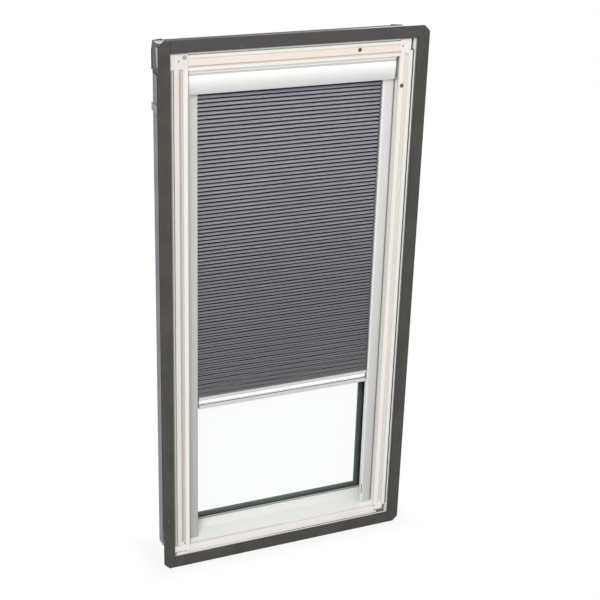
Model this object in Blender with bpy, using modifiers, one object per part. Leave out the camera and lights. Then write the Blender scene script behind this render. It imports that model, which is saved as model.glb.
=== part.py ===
"""A fixed skylight with its pleated window blind, standing upright. Metres, +Z up, the room on the -Y side.

The origin is on the room face of the bottom deck seal, at its middle.
An inset is measured inwards from the overall outline, and a depth along +Y from the seal's room face.
"""

import math

import bmesh
import bpy
from mathutils import Matrix, Vector

# Overall outline, and the gap between touching pieces
OVERALL_WIDTH = 0.596
OVERALL_HEIGHT = 1.219
GAP = 0.0003

# Deck seal
SEAL_WIDTH = 0.026
SEAL_THICKNESS = 0.006
SEAL_CORNER = 0.012

# Mounting flange behind the seal
FLANGE_INSET = 0.001
FLANGE_THICKNESS = 0.0012
FLANGE_UPRIGHT_BACK = 0.066

# Outer covers
COVER_INSET = 0.0175
COVER_THICKNESS = 0.001
COVER_FRONT = 0.069
COVER_EDGE_BACK = 0.097
COVER_SLOPE_INSET = 0.040
COVER_LIP_INSET = 0.074
TOP_COVER_FRONT = 0.060
TOP_COVER_WRAP = 0.061
SIDE_COVER_NOTCH = 0.003
DRIP_INSET = 0.0055
DRIP_FRONT = 0.060
DRIP_BACK = 0.088
STRAP_BELOW_TOP = 0.145
STRAP_WIDTH = 0.017
STRAP_THICKNESS = 0.002

# Wood frame
FRAME_FRONT = 0.0068
FRAME_BACK = 0.088
RAIL_OUTER_SIDE = 0.0336
RAIL_OUTER_TOP = 0.0314
RAIL_OUTER_BOTTOM = 0.0303
RAIL_INNER_SIDE = 0.0633
RAIL_INNER_TOP = 0.0631
RAIL_INNER_BOTTOM = 0.0522
LINING_GROOVE_DEPTH = 0.020
LINING_SLIT = 0.0013
LINING_STRIP_FRONT = 0.0085
SIDE_GROOVE_START = 0.044
SIDE_GROOVE_WIDTH = 0.0083
SIDE_GROOVE_DEPTH = 0.004
CORNER_TOP = 0.0595
CORNER_BOTTOM = 0.050
END_SLIT_TOP = 0.036
END_SLIT_INNER = 0.055
END_PAD_TOP = 0.0315
LOW_SLIT_INNER = 0.0375
LOW_SLIT_TOP = 0.049
HIGH_SLIT_INNER = 0.039
HIGH_SLIT_LENGTH = 0.025
TOP_STEP_INSET = 0.0392
TOP_STEP_DEPTH = 0.0006
TOP_GROOVE_START = 0.053
TOP_GROOVE_WIDTH = 0.004
TOP_GROOVE_DEPTH = 0.003
SILL_LEVEL_BACK = 0.060
SILL_RISE = 0.0053

# Glass unit and its gaskets
PANE_THICKNESS = 0.003
SPACER_THICKNESS = 0.0054
GLAZING_GASKET_THICKNESS = 0.0014
WEATHER_GASKET_THICKNESS = 0.0016
PANE_INSET = 0.048
GASKET_REACH = 0.0065
SPACER_REACH = 0.0142
SPACER_WIDTH = 0.012
WEATHER_GASKET_INSET = 0.060

# Headbox
HEADBOX_CLEARANCE = 0.0027
HEADBOX_TOP = 0.0668
HEADBOX_FACE_TOP = 0.0755
HEADBOX_BOTTOM = 0.1145
HEADBOX_FRONT = 0.0145
HEADBOX_NOSE = 0.0025
HEADBOX_STEP = 0.0007
HEADBOX_FACE_RADIUS = 0.120
HEADBOX_SEAM = 0.030
HEADBOX_BACK = 0.058
HEADBOX_WALL = 0.0016
COVER_BOTTOM_LIP = 0.0272
RAIL_BOTTOM_LIP = 0.0535
END_CAP_THICKNESS = 0.0017
TOP_STRIP_THICKNESS = 0.002

# Drive
SHAFT_DEPTH = 0.042
SHAFT_BELOW_TOP = 0.092
SHAFT_RADIUS = 0.003
SPOOL_RADIUS = 0.008
SPOOL_FLANGE_RADIUS = 0.0098
SPOOL_WIDTH = 0.013
SPOOL_FLANGE = 0.0015
BRACKET_THICKNESS = 0.003
BRACKET_FRONT = 0.022
BRACKET_HEIGHT = 0.034
MOTOR_RADIUS = 0.011
MOTOR_LENGTH = 0.150
MOTOR_FROM_BRACKET = 0.020
MOTOR_FOOT_HEIGHT = 0.012
CONTROL_BOX_LENGTH = 0.120
CONTROL_BOX_FROM_BRACKET = 0.020
CONTROL_BOX_FRONT = 0.0205
CONTROL_BOX_DEPTH = 0.0165
CONTROL_BOX_HEIGHT = 0.030

# Side channels
CHANNEL_WIDTH = 0.0264
CHANNEL_FRONT = 0.0275
CHANNEL_BACK = 0.056
CHANNEL_WALL = 0.0015
CHANNEL_SLOT_FRONT = 0.037
CHANNEL_BACK_EDGE = 0.079
CHANNEL_LIP = 0.0045
CHANNEL_LIP_STEP = 0.0005
CHANNEL_CORNER = 0.002
KEY_SLOT_FROM_EDGE = 0.0010
KEY_SLOT_WIDTH = 0.0016
KEY_SLOT_RISE = 0.0273
KEY_SLOT_LENGTH = 0.0257

# Channel foot and its pulley
FOOT_BASE = 0.003
FOOT_HEIGHT = 0.0235
FOOT_SLOT = 0.006
FOOT_BACK_EDGE = 0.0815
FOOT_PIN_SEAT = 0.004
PULLEY_HEIGHT = 0.0135
PULLEY_WIDTH = 0.005
PULLEY_FLANGE = 0.001
PULLEY_FLANGE_RADIUS = 0.0096
PULLEY_PIN_RADIUS = 0.002

# Cords
CORD_RADIUS = 0.0005
CORD_TURN_STEPS = 12

# Pleated fabric
FABRIC_FRONT = 0.0282
FABRIC_FOLD_DEPTH = 0.012
FABRIC_SHEET = 0.0016
FABRIC_END_CLEARANCE = 0.0006
PLEATS = 93
PLEAT_CROWDING = 0.162
PLEAT_CROWDING_POWER = 3.3

# Bottom bar, at the height that the photograph shows
BAR_BELOW_TOP = 0.8056
BAR_END_CLEARANCE = 0.008
BAR_FRONT = 0.0275
BAR_BACK = 0.0455
BAR_BEAD_HEIGHT = 0.0069
BAR_SEAM_DEPTH = 0.0008
BAR_BULGE_HEIGHT = 0.0100
BAR_BULGE = 0.0025
BAR_WALL = 0.0018
GRIP_HEIGHT = 0.0116
GRIP_BACK = 0.0435
GRIP_WALL = 0.0014

# Gliders
GLIDER_HEIGHT = 0.010
GLIDER_PLUG = 0.0055
GLIDER_PLUG_SETBACK = 0.0006
GLIDER_ARM_FRONT = 0.0385
GLIDER_ARM_BACK = 0.0465
GLIDER_CLEARANCE = 0.0005

# Places worked out from the sizes above
LEFT = -OVERALL_WIDTH / 2
RIGHT = OVERALL_WIDTH / 2
BOTTOM = -SEAL_WIDTH / 2
TOP = BOTTOM + OVERALL_HEIGHT
FLANGE_FRONT = SEAL_THICKNESS + GAP
FLANGE_BACK = FLANGE_FRONT + FLANGE_THICKNESS
UPRIGHT_INSET = COVER_INSET + COVER_THICKNESS + GAP
FRAME_OUTSIDE = UPRIGHT_INSET + FLANGE_THICKNESS + GAP
RAIL_SHOULDER = SEAL_WIDTH + GAP
SILL = BOTTOM + RAIL_INNER_BOTTOM
INNER_HALF_WIDTH = RIGHT - RAIL_INNER_SIDE
GLAZING_GASKET_FRONT = FRAME_BACK + GAP
INNER_PANE_FRONT = GLAZING_GASKET_FRONT + GLAZING_GASKET_THICKNESS + GAP
SPACER_FRONT = INNER_PANE_FRONT + PANE_THICKNESS + GAP
OUTER_PANE_FRONT = SPACER_FRONT + SPACER_THICKNESS + GAP
WEATHER_GASKET_FRONT = OUTER_PANE_FRONT + PANE_THICKNESS + GAP
COVER_BACK = WEATHER_GASKET_FRONT + WEATHER_GASKET_THICKNESS + GAP + COVER_THICKNESS
SHAFT_Z = TOP - SHAFT_BELOW_TOP
CHANNEL_INSET = RAIL_INNER_SIDE + GAP
CHANNEL_EDGE = CHANNEL_INSET + CHANNEL_WIDTH
CHANNEL_TOP = TOP - HEADBOX_BOTTOM - GAP
CHANNEL_INNER_OUTSIDE = RIGHT - CHANNEL_INSET - CHANNEL_WALL
CHANNEL_INNER_INSIDE = RIGHT - CHANNEL_EDGE + CHANNEL_WALL
CORD_X = (CHANNEL_INNER_OUTSIDE + CHANNEL_INNER_INSIDE) / 2
CORD_TURN_RADIUS = SPOOL_RADIUS + GAP + CORD_RADIUS
PULLEY_RADIUS = CORD_TURN_RADIUS - CORD_RADIUS - GAP
CORD_FRONT = SHAFT_DEPTH - CORD_TURN_RADIUS
CORD_BACK = SHAFT_DEPTH + CORD_TURN_RADIUS
PULLEY_Z = SILL + PULLEY_HEIGHT
HEADBOX_HALF_WIDTH = INNER_HALF_WIDTH - HEADBOX_CLEARANCE
COVER_HALF_WIDTH = HEADBOX_HALF_WIDTH - END_CAP_THICKNESS - GAP
BRACKET_X = CORD_X - SPOOL_WIDTH / 2 - GAP - BRACKET_THICKNESS / 2
MOTOR_X = -BRACKET_X + BRACKET_THICKNESS / 2 + MOTOR_FROM_BRACKET + MOTOR_LENGTH / 2
CONTROL_BOX_END = BRACKET_X - BRACKET_THICKNESS / 2 - CONTROL_BOX_FROM_BRACKET
TOP_STRIP_BOTTOM = TOP - HEADBOX_BOTTOM + HEADBOX_WALL + GAP
FABRIC_TOP = TOP_STRIP_BOTTOM - GAP
BAR_TOP = TOP - BAR_BELOW_TOP
FABRIC_BOTTOM = BAR_TOP + GAP
FABRIC_HALF_WIDTH = RIGHT - CHANNEL_EDGE - FABRIC_END_CLEARANCE
BAR_HALF_WIDTH = RIGHT - CHANNEL_EDGE - BAR_END_CLEARANCE
BAR_BOTTOM = BAR_TOP - BAR_BEAD_HEIGHT - BAR_BULGE_HEIGHT
GLIDER_TOP = BAR_TOP - GLIDER_CLEARANCE
GLIDER_BOTTOM = GLIDER_TOP - GLIDER_HEIGHT

WHITE_LACQUER = (0.87, 0.85, 0.82)
DARK_RUBBER = (0.09, 0.085, 0.08)
LIGHT_ALUMINIUM = (0.72, 0.73, 0.72)


def empty_scene():
    for old in list(bpy.data.objects):
        bpy.data.objects.remove(old, do_unlink=True)


def collection(name):
    made = bpy.data.collections.new(name)
    bpy.context.scene.collection.children.link(made)
    return made


empty_scene()
PARTS = collection("skylight_window_blind")
CUTTERS = collection("cutters")


def material(name, color, roughness=0.5, metallic=0.0, alpha=1.0):
    made = bpy.data.materials.get(name)
    if made is None:
        made = bpy.data.materials.new(name)
        made.use_nodes = True
        shader = made.node_tree.nodes["Principled BSDF"]
        shader.inputs["Base Color"].default_value = (*color, 1.0)
        shader.inputs["Roughness"].default_value = roughness
        shader.inputs["Metallic"].default_value = metallic
        shader.inputs["Alpha"].default_value = alpha
    return made


def finish(name, mesh, look, target=None):
    """Names a mesh as a part, gives it its material and links it."""
    made = bpy.data.objects.new(name, mesh)
    mesh.name = name
    mesh.materials.clear()
    mesh.materials.append(look)
    (target or PARTS).objects.link(made)
    return made


def solid_from(bm, name, look, target=None):
    bmesh.ops.recalc_face_normals(bm, faces=bm.faces)
    if bm.calc_volume(signed=True) < 0:
        bmesh.ops.reverse_faces(bm, faces=bm.faces)
    mesh = bpy.data.meshes.new(name)
    bm.to_mesh(mesh)
    bm.free()
    return finish(name, mesh, look, target)


def prism(name, outline, start, stop, place, look, target=None):
    """Extrudes an outline of (a, b) points from start to stop. place turns a, b and a length into a point.

    start and stop are numbers, or functions of a for a mitred end.
    """
    bm = bmesh.new()
    near = start if callable(start) else lambda a: start
    far = stop if callable(stop) else lambda a: stop
    ring = [bm.verts.new(place(a, b, near(a))) for a, b in outline]
    face = bm.faces.new(ring)
    moves = {vert.co.copy().freeze(): Vector(place(a, b, far(a))) for vert, (a, b) in zip(ring, outline)}
    extruded = bmesh.ops.extrude_face_region(bm, geom=[face])
    for item in extruded["geom"]:
        if isinstance(item, bmesh.types.BMVert):
            item.co = moves[item.co.copy().freeze()]
    return solid_from(bm, name, look, target)


def along_side(side):
    """Turns an inset, a depth and a length along that side into a point."""
    if side == "left":
        return lambda inset, depth, length: (LEFT + inset, depth, length)
    if side == "right":
        return lambda inset, depth, length: (RIGHT - inset, depth, length)
    if side == "top":
        return lambda inset, depth, length: (length, depth, TOP - inset)
    return lambda inset, depth, length: (length, depth, BOTTOM + inset)


def mitred_ends(side):
    low, high = (BOTTOM, TOP) if side in ("left", "right") else (LEFT, RIGHT)
    return (lambda inset: low + inset + GAP), (lambda inset: high - inset - GAP)


def across(depth, height, length):
    """For an outline of (depth, height) points that runs along X."""
    return (length, depth, height)


def upright(x, depth, height):
    """For an outline of (x, depth) points that runs along Z."""
    return (x, depth, height)


def flat(x, height, depth):
    """For an outline of (x, height) points that runs along Y."""
    return (x, depth, height)


def rectangle(low_a, high_a, low_b, high_b):
    return [(low_a, low_b), (high_a, low_b), (high_a, high_b), (low_a, high_b)]


def box(name, low, high, look, target=None):
    outline = rectangle(low[0], high[0], low[1], high[1])
    return prism(name, outline, low[2], high[2], upright, look, target)


def sheet_outline(path, thickness):
    """The outline of a bent sheet whose outer face follows path. The sheet lies to the right of the path."""
    points = [Vector(point) for point in path]
    normals = []
    for first, second in zip(points, points[1:]):
        direction = (second - first).normalized()
        normals.append(Vector((direction.y, -direction.x)))
    inner = [points[0] + normals[0] * thickness]
    for point, before, after in zip(points[1:-1], normals, normals[1:]):
        middle = (before + after).normalized()
        inner.append(point + middle * (thickness / middle.dot(after)))
    inner.append(points[-1] + normals[-1] * thickness)
    return [tuple(point) for point in points] + [tuple(point) for point in reversed(inner)]


def arc(center, radius, start, stop, steps):
    """Points round a centre, with the angles in degrees."""
    angles = [math.radians(start + (stop - start) * step / steps) for step in range(steps + 1)]
    return [(center[0] + radius * math.cos(angle), center[1] + radius * math.sin(angle)) for angle in angles]


def ring_plate(name, outer, inner, front, thickness, look):
    """A flat frame or pane. outer and inner are (side, top, bottom) insets, and inner may be left out."""
    curve = bpy.data.curves.new(name, "CURVE")
    curve.dimensions = "2D"
    curve.fill_mode = "BOTH"
    curve.extrude = thickness / 2
    for side, top, bottom in [outer] + ([inner] if inner else []):
        corners = rectangle(LEFT + side, RIGHT - side, BOTTOM + bottom, TOP - top)
        spline = curve.splines.new("POLY")
        spline.points.add(len(corners) - 1)
        for point, (x, z) in zip(spline.points, corners):
            point.co = (x, z, 0, 1)
        spline.use_cyclic_u = True
    drawn = bpy.data.objects.new(name + "_outline", curve)
    CUTTERS.objects.link(drawn)
    drawn.rotation_euler = (math.pi / 2, 0, 0)
    drawn.location = (0, front + thickness / 2, 0)
    return curve_to_mesh(drawn, name, look)


def curve_to_mesh(drawn, name, look):
    bpy.context.view_layer.update()
    evaluated = drawn.evaluated_get(bpy.context.evaluated_depsgraph_get())
    mesh = bpy.data.meshes.new_from_object(evaluated)
    mesh.transform(drawn.matrix_world)
    bm = bmesh.new()
    bm.from_mesh(mesh)
    bmesh.ops.remove_doubles(bm, verts=bm.verts, dist=0.000001)
    curve = drawn.data
    bpy.data.objects.remove(drawn, do_unlink=True)
    bpy.data.curves.remove(curve)
    bpy.data.meshes.remove(mesh)
    return solid_from(bm, name, look)


def cylinder(name, x, depth, height, radius, length, look, segments=24, target=None):
    """A round bar along X with its middle at x."""
    bm = bmesh.new()
    bmesh.ops.create_cone(bm, cap_ends=True, segments=segments, radius1=radius, radius2=radius, depth=length)
    made = solid_from(bm, name, look, target)
    made.data.transform(Matrix.Rotation(math.pi / 2, 4, "Y"))
    made.location = (x, depth, height)
    made.data.shade_smooth()
    made.data.set_sharp_from_angle(angle=math.radians(40))
    return made


def combine(target, tool, operation):
    """Cuts the tool from the target, or joins it, and keeps the tool as a wire guide."""
    change = target.modifiers.new(operation.lower() + "_" + tool.name, "BOOLEAN")
    change.operation = operation
    change.solver = "EXACT"
    change.object = tool
    tool.hide_render = True
    tool.display_type = "WIRE"
    return target


def guide():
    return material("guide", (0.8, 0.2, 0.1))


def make_deck_seal():
    look = material("deck_seal", DARK_RUBBER, 0.75)
    corner = SEAL_CORNER
    left_inner = LEFT + SEAL_WIDTH
    right_inner = RIGHT - SEAL_WIDTH
    top_inner = TOP - SEAL_WIDTH
    outlines = {
        "left": [
            (LEFT, BOTTOM + corner), (LEFT + corner, BOTTOM), (left_inner, BOTTOM),
            (left_inner, TOP), (LEFT + corner, TOP), (LEFT, TOP - corner),
        ],
        "right": [
            (right_inner, BOTTOM), (RIGHT - corner, BOTTOM), (RIGHT, BOTTOM + corner),
            (RIGHT, top_inner - GAP), (right_inner, top_inner - GAP),
        ],
        "top": [
            (left_inner + GAP, top_inner), (RIGHT, top_inner), (RIGHT, TOP - corner),
            (RIGHT - corner, TOP), (left_inner + GAP, TOP),
        ],
        "bottom": rectangle(left_inner + GAP, right_inner - GAP, BOTTOM, BOTTOM + SEAL_WIDTH),
    }
    for side, outline in outlines.items():
        seal = prism("deck_seal_" + side, outline, 0, SEAL_THICKNESS, flat, look)
        round_edges(seal, 0.0012, 2)


def round_edges(target, width, segments=1):
    bevel = target.modifiers.new("rounded edges", "BEVEL")
    bevel.width = width
    bevel.segments = segments
    bevel.limit_method = "ANGLE"
    bevel.angle_limit = math.radians(50)
    return target


def make_flange():
    look = material("mounting_flange", (0.52, 0.52, 0.53), 0.5, 0.3)
    upright_inner = UPRIGHT_INSET + FLANGE_THICKNESS
    corner = SEAL_CORNER + 2 * FLANGE_INSET
    turn = corner / 2
    outline = [
        (FLANGE_INSET, FLANGE_FRONT), (turn, FLANGE_FRONT), (SEAL_WIDTH, FLANGE_FRONT),
        (SEAL_WIDTH, FLANGE_BACK), (upright_inner, FLANGE_BACK), (upright_inner, FLANGE_UPRIGHT_BACK),
        (UPRIGHT_INSET, FLANGE_UPRIGHT_BACK), (UPRIGHT_INSET, FLANGE_BACK), (turn, FLANGE_BACK),
        (FLANGE_INSET, FLANGE_BACK),
    ]

    def cut_inset(inset):
        """The mitre, cut off at the outer corner as the seal is."""
        return max(inset, corner - inset)

    for side in ("left", "right", "top", "bottom"):
        start, stop = mitred_ends(side)
        prism(
            "mounting_flange_" + side, outline,
            lambda inset: start(cut_inset(inset)), lambda inset: stop(cut_inset(inset)),
            along_side(side), look,
        )


def side_rail(side):
    look = material("wood_frame", WHITE_LACQUER, 0.35)
    leg_front = FLANGE_BACK + GAP
    outline = [
        (FRAME_OUTSIDE, leg_front), (RAIL_SHOULDER, leg_front), (RAIL_SHOULDER, FRAME_FRONT),
        (RAIL_INNER_SIDE, FRAME_FRONT), (RAIL_INNER_SIDE, FRAME_BACK), (FRAME_OUTSIDE, FRAME_BACK),
    ]
    low = BOTTOM + FRAME_OUTSIDE
    high = TOP - FRAME_OUTSIDE
    rail = prism("frame_rail_" + side, outline, low, high, along_side(side), look)
    before_front = FRAME_FRONT - SEAL_THICKNESS
    beyond = RAIL_INNER_SIDE + SEAL_THICKNESS
    groove_end = SIDE_GROOVE_START + SIDE_GROOVE_WIDTH
    groove_back = FRAME_FRONT + SIDE_GROOVE_DEPTH
    low_stop = BOTTOM + CORNER_BOTTOM
    high_stop = TOP - CORNER_TOP
    low_end = BOTTOM + RAIL_SHOULDER
    high_end = TOP - RAIL_SHOULDER
    back = LINING_GROOVE_DEPTH
    cuts = {
        "lining_groove": (RAIL_SHOULDER, RAIL_OUTER_SIDE, back, low_stop, high_stop),
        "face_groove": (SIDE_GROOVE_START, groove_end, groove_back, low_stop, high_stop),
        "low_step": (FRAME_OUTSIDE, beyond, leg_front, BOTTOM, low_end),
        "high_step": (FRAME_OUTSIDE, beyond, leg_front, high_end, TOP),
        "strip_passage": (RAIL_SHOULDER, beyond, back, low_end, BOTTOM + RAIL_OUTER_BOTTOM),
        "end_slit": (RAIL_SHOULDER, END_SLIT_INNER, back, low_end, BOTTOM + END_SLIT_TOP),
    }
    if side == "right":
        cuts["lining_groove"] = (RAIL_SHOULDER, RAIL_OUTER_SIDE, back, low_end, high_end)
        cuts["low_slit"] = (RAIL_SHOULDER, LOW_SLIT_INNER, back, low_end, BOTTOM + LOW_SLIT_TOP)
        cuts["high_slit"] = (RAIL_SHOULDER, HIGH_SLIT_INNER, back, high_end - HIGH_SLIT_LENGTH, high_end)
    for name, (outer, inner, back, start, stop) in cuts.items():
        outline = rectangle(outer, inner, before_front, back)
        cutter = prism(name + "_" + side, outline, start, stop, along_side(side), guide(), CUTTERS)
        combine(rail, cutter, "DIFFERENCE")


def cross_rails():
    look = material("wood_frame", WHITE_LACQUER, 0.35)
    leg_front = FLANGE_BACK + GAP
    half = INNER_HALF_WIDTH - GAP
    step_front = FRAME_FRONT + TOP_STEP_DEPTH
    groove_back = FRAME_FRONT + TOP_GROOVE_DEPTH
    groove_end = TOP_GROOVE_START + TOP_GROOVE_WIDTH
    top = [
        (FRAME_OUTSIDE, leg_front), (RAIL_SHOULDER, leg_front), (RAIL_SHOULDER, LINING_GROOVE_DEPTH),
        (RAIL_OUTER_TOP, LINING_GROOVE_DEPTH), (RAIL_OUTER_TOP, step_front), (TOP_STEP_INSET, step_front),
        (TOP_STEP_INSET, FRAME_FRONT), (TOP_GROOVE_START, FRAME_FRONT), (TOP_GROOVE_START, groove_back),
        (groove_end, groove_back), (groove_end, FRAME_FRONT), (RAIL_INNER_TOP, FRAME_FRONT),
        (RAIL_INNER_TOP, FRAME_BACK), (FRAME_OUTSIDE, FRAME_BACK),
    ]
    bottom = [
        (FRAME_OUTSIDE, leg_front), (RAIL_SHOULDER, leg_front), (RAIL_SHOULDER, LINING_GROOVE_DEPTH),
        (RAIL_OUTER_BOTTOM, LINING_GROOVE_DEPTH), (RAIL_OUTER_BOTTOM, FRAME_FRONT),
        (RAIL_INNER_BOTTOM, FRAME_FRONT), (RAIL_INNER_BOTTOM, SILL_LEVEL_BACK),
        (RAIL_INNER_BOTTOM + SILL_RISE, FRAME_BACK), (FRAME_OUTSIDE, FRAME_BACK),
    ]
    prism("frame_rail_top", top, -half, half, along_side("top"), look)
    prism("frame_rail_bottom", bottom, -half, half, along_side("bottom"), look)


def make_lining_strips():
    look = material("lining_strip", (0.80, 0.84, 0.80), 0.6)
    back = LINING_GROOVE_DEPTH - GAP
    half = INNER_HALF_WIDTH - GAP
    outer = RAIL_SHOULDER + GAP
    pad_top = BOTTOM + END_PAD_TOP
    spans = {
        "left": (RAIL_OUTER_SIDE, BOTTOM + CORNER_BOTTOM + GAP, TOP - CORNER_TOP - GAP),
        "right": (RAIL_OUTER_SIDE, pad_top + GAP, TOP - outer),
        "top": (RAIL_OUTER_TOP, -half, half),
    }
    for side, (rail_outer, start, stop) in spans.items():
        outline = rectangle(outer, rail_outer - LINING_SLIT, LINING_STRIP_FRONT, back)
        prism("lining_strip_" + side, outline, start, stop, along_side(side), look)

    # The bottom strip passes under both side rails and widens into a pad below their ends
    end = RIGHT - outer
    pad = RIGHT - END_SLIT_INNER + GAP
    low = BOTTOM + outer
    thin = BOTTOM + RAIL_OUTER_BOTTOM - LINING_SLIT
    outline = [
        (-end, low), (end, low), (end, pad_top), (pad, pad_top),
        (pad, thin), (-pad, thin), (-pad, pad_top), (-end, pad_top),
    ]
    prism("lining_strip_bottom", outline, LINING_STRIP_FRONT, back, flat, look)


def make_covers():
    light = material("side_cover", (0.42, 0.42, 0.45), 0.45, 0.6)
    dark = material("top_cover", (0.16, 0.16, 0.165), 0.5, 0.5)
    rise = [(COVER_SLOPE_INSET, COVER_BACK), (COVER_LIP_INSET, COVER_BACK)]
    side_path = [(COVER_INSET, COVER_FRONT), (COVER_INSET, COVER_EDGE_BACK)] + rise
    side_outline = sheet_outline(side_path, COVER_THICKNESS)
    wrap_end = COVER_INSET + TOP_COVER_WRAP
    high = TOP - wrap_end - SIDE_COVER_NOTCH
    for side in ("left", "right"):
        low = mitred_ends(side)[0]
        prism("side_cover_" + side, side_outline, low, high, along_side(side), light)

    drip_path = [(DRIP_INSET, DRIP_FRONT), (DRIP_INSET, DRIP_BACK)] + rise
    start, stop = mitred_ends("bottom")
    limit = LEFT + COVER_INSET
    prism(
        "bottom_cover", sheet_outline(drip_path, COVER_THICKNESS),
        lambda inset: max(start(inset), limit), lambda inset: min(stop(inset), -limit),
        along_side("bottom"), light,
    )

    top_path = [(COVER_INSET, TOP_COVER_FRONT), (COVER_INSET, COVER_EDGE_BACK)]
    top_path += [(COVER_SLOPE_INSET, COVER_BACK), (wrap_end, COVER_BACK)]
    top = prism(
        "top_cover", sheet_outline(top_path, COVER_THICKNESS),
        LEFT + COVER_INSET, RIGHT - COVER_INSET, along_side("top"), dark,
    )
    for side in ("left", "right"):
        wrap = prism(
            "cover_wrap_" + side, sheet_outline(top_path[:-1], COVER_THICKNESS),
            TOP - wrap_end, TOP - COVER_INSET, along_side(side), dark, CUTTERS,
        )
        combine(top, wrap, "UNION")


def make_straps():
    """A strap clamped round each side cover."""
    look = material("cover_strap", (0.20, 0.20, 0.21), 0.5, 0.5)
    outside = COVER_INSET - GAP
    outer = outside - STRAP_THICKNESS
    outline = sheet_outline(
        [(outer, COVER_FRONT - 0.004), (outer, COVER_EDGE_BACK + 0.003)], STRAP_THICKNESS,
    )
    for side in ("left", "right"):
        prism(
            "cover_strap_" + side, outline, TOP - STRAP_BELOW_TOP - STRAP_WIDTH, TOP - STRAP_BELOW_TOP,
            along_side(side), look,
        )


def make_glass():
    glass = material("glass", (0.90, 0.96, 0.95), 0.02, 0.0, 0.25)
    gasket = material("glazing_gasket", (0.075, 0.085, 0.08), 0.6)
    spacer = material("glass_spacer", (0.02, 0.035, 0.03), 0.4)
    pane = (PANE_INSET, PANE_INSET, PANE_INSET)
    sill_inset = RAIL_INNER_BOTTOM + SILL_RISE
    clear = (RAIL_INNER_SIDE, RAIL_INNER_TOP, sill_inset)
    gasket_inner = tuple(inset + GASKET_REACH for inset in clear)
    spacer_inner = tuple(inset + SPACER_REACH for inset in clear)
    spacer_outer = tuple(inset - SPACER_WIDTH for inset in spacer_inner)
    weather_outer = (WEATHER_GASKET_INSET,) * 3
    weather_inner = (COVER_LIP_INSET - GAP,) * 3
    ring_plate("glazing_gasket", pane, gasket_inner, GLAZING_GASKET_FRONT, GLAZING_GASKET_THICKNESS, gasket)
    ring_plate("inner_pane", pane, None, INNER_PANE_FRONT, PANE_THICKNESS, glass)
    ring_plate("glass_spacer", spacer_outer, spacer_inner, SPACER_FRONT, SPACER_THICKNESS, spacer)
    ring_plate("outer_pane", pane, None, OUTER_PANE_FRONT, PANE_THICKNESS, glass)
    ring_plate(
        "weather_gasket", weather_outer, weather_inner,
        WEATHER_GASKET_FRONT, WEATHER_GASKET_THICKNESS, gasket,
    )


def headbox_face():
    """The flat top strip's edge and the convex face set back below it, as (depth, height) points."""
    drop = HEADBOX_BOTTOM - HEADBOX_FACE_TOP
    sweep = math.degrees(math.asin(drop / HEADBOX_FACE_RADIUS))
    center = (HEADBOX_FRONT + HEADBOX_STEP + HEADBOX_FACE_RADIUS, TOP - HEADBOX_FACE_TOP)
    return [(HEADBOX_FRONT, TOP - HEADBOX_FACE_TOP)] + arc(center, HEADBOX_FACE_RADIUS, 180, 180 + sweep, 8)


def make_headbox():
    white = material("headbox", (0.86, 0.86, 0.85), 0.3)
    top = TOP - HEADBOX_TOP
    bottom = TOP - HEADBOX_BOTTOM
    nose = [(HEADBOX_FRONT + HEADBOX_NOSE, top), (HEADBOX_FRONT, top - HEADBOX_NOSE)]
    face = headbox_face()
    cover_path = [(HEADBOX_SEAM, top)] + nose + face + [(COVER_BOTTOM_LIP, bottom)]
    cover_path.reverse()
    prism(
        "headbox_cover", sheet_outline(cover_path, HEADBOX_WALL),
        -COVER_HALF_WIDTH, COVER_HALF_WIDTH, across, white,
    )
    rail_path = [
        (RAIL_BOTTOM_LIP, bottom), (HEADBOX_BACK, bottom), (HEADBOX_BACK, top), (HEADBOX_SEAM + GAP, top),
    ]
    rail_path.reverse()
    prism(
        "headbox_rail", sheet_outline(rail_path, HEADBOX_WALL),
        -COVER_HALF_WIDTH, COVER_HALF_WIDTH, across, white,
    )
    cap = [(HEADBOX_BACK, top)] + nose + face + [(HEADBOX_BACK, bottom)]
    for side, sign in (("left", -1), ("right", 1)):
        inner = sign * (COVER_HALF_WIDTH + GAP)
        outer = sign * HEADBOX_HALF_WIDTH
        prism("headbox_end_cap_" + side, cap, inner, outer, across, white)
    strip = rectangle(
        FABRIC_FRONT + GAP, HEADBOX_BACK - HEADBOX_WALL - GAP,
        TOP_STRIP_BOTTOM, TOP_STRIP_BOTTOM + TOP_STRIP_THICKNESS,
    )
    half = BRACKET_X - BRACKET_THICKNESS / 2 - GAP
    prism(
        "fabric_top_strip", strip, -half, half, across,
        material("fabric_top_strip", LIGHT_ALUMINIUM, 0.35, 0.9),
    )


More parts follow.
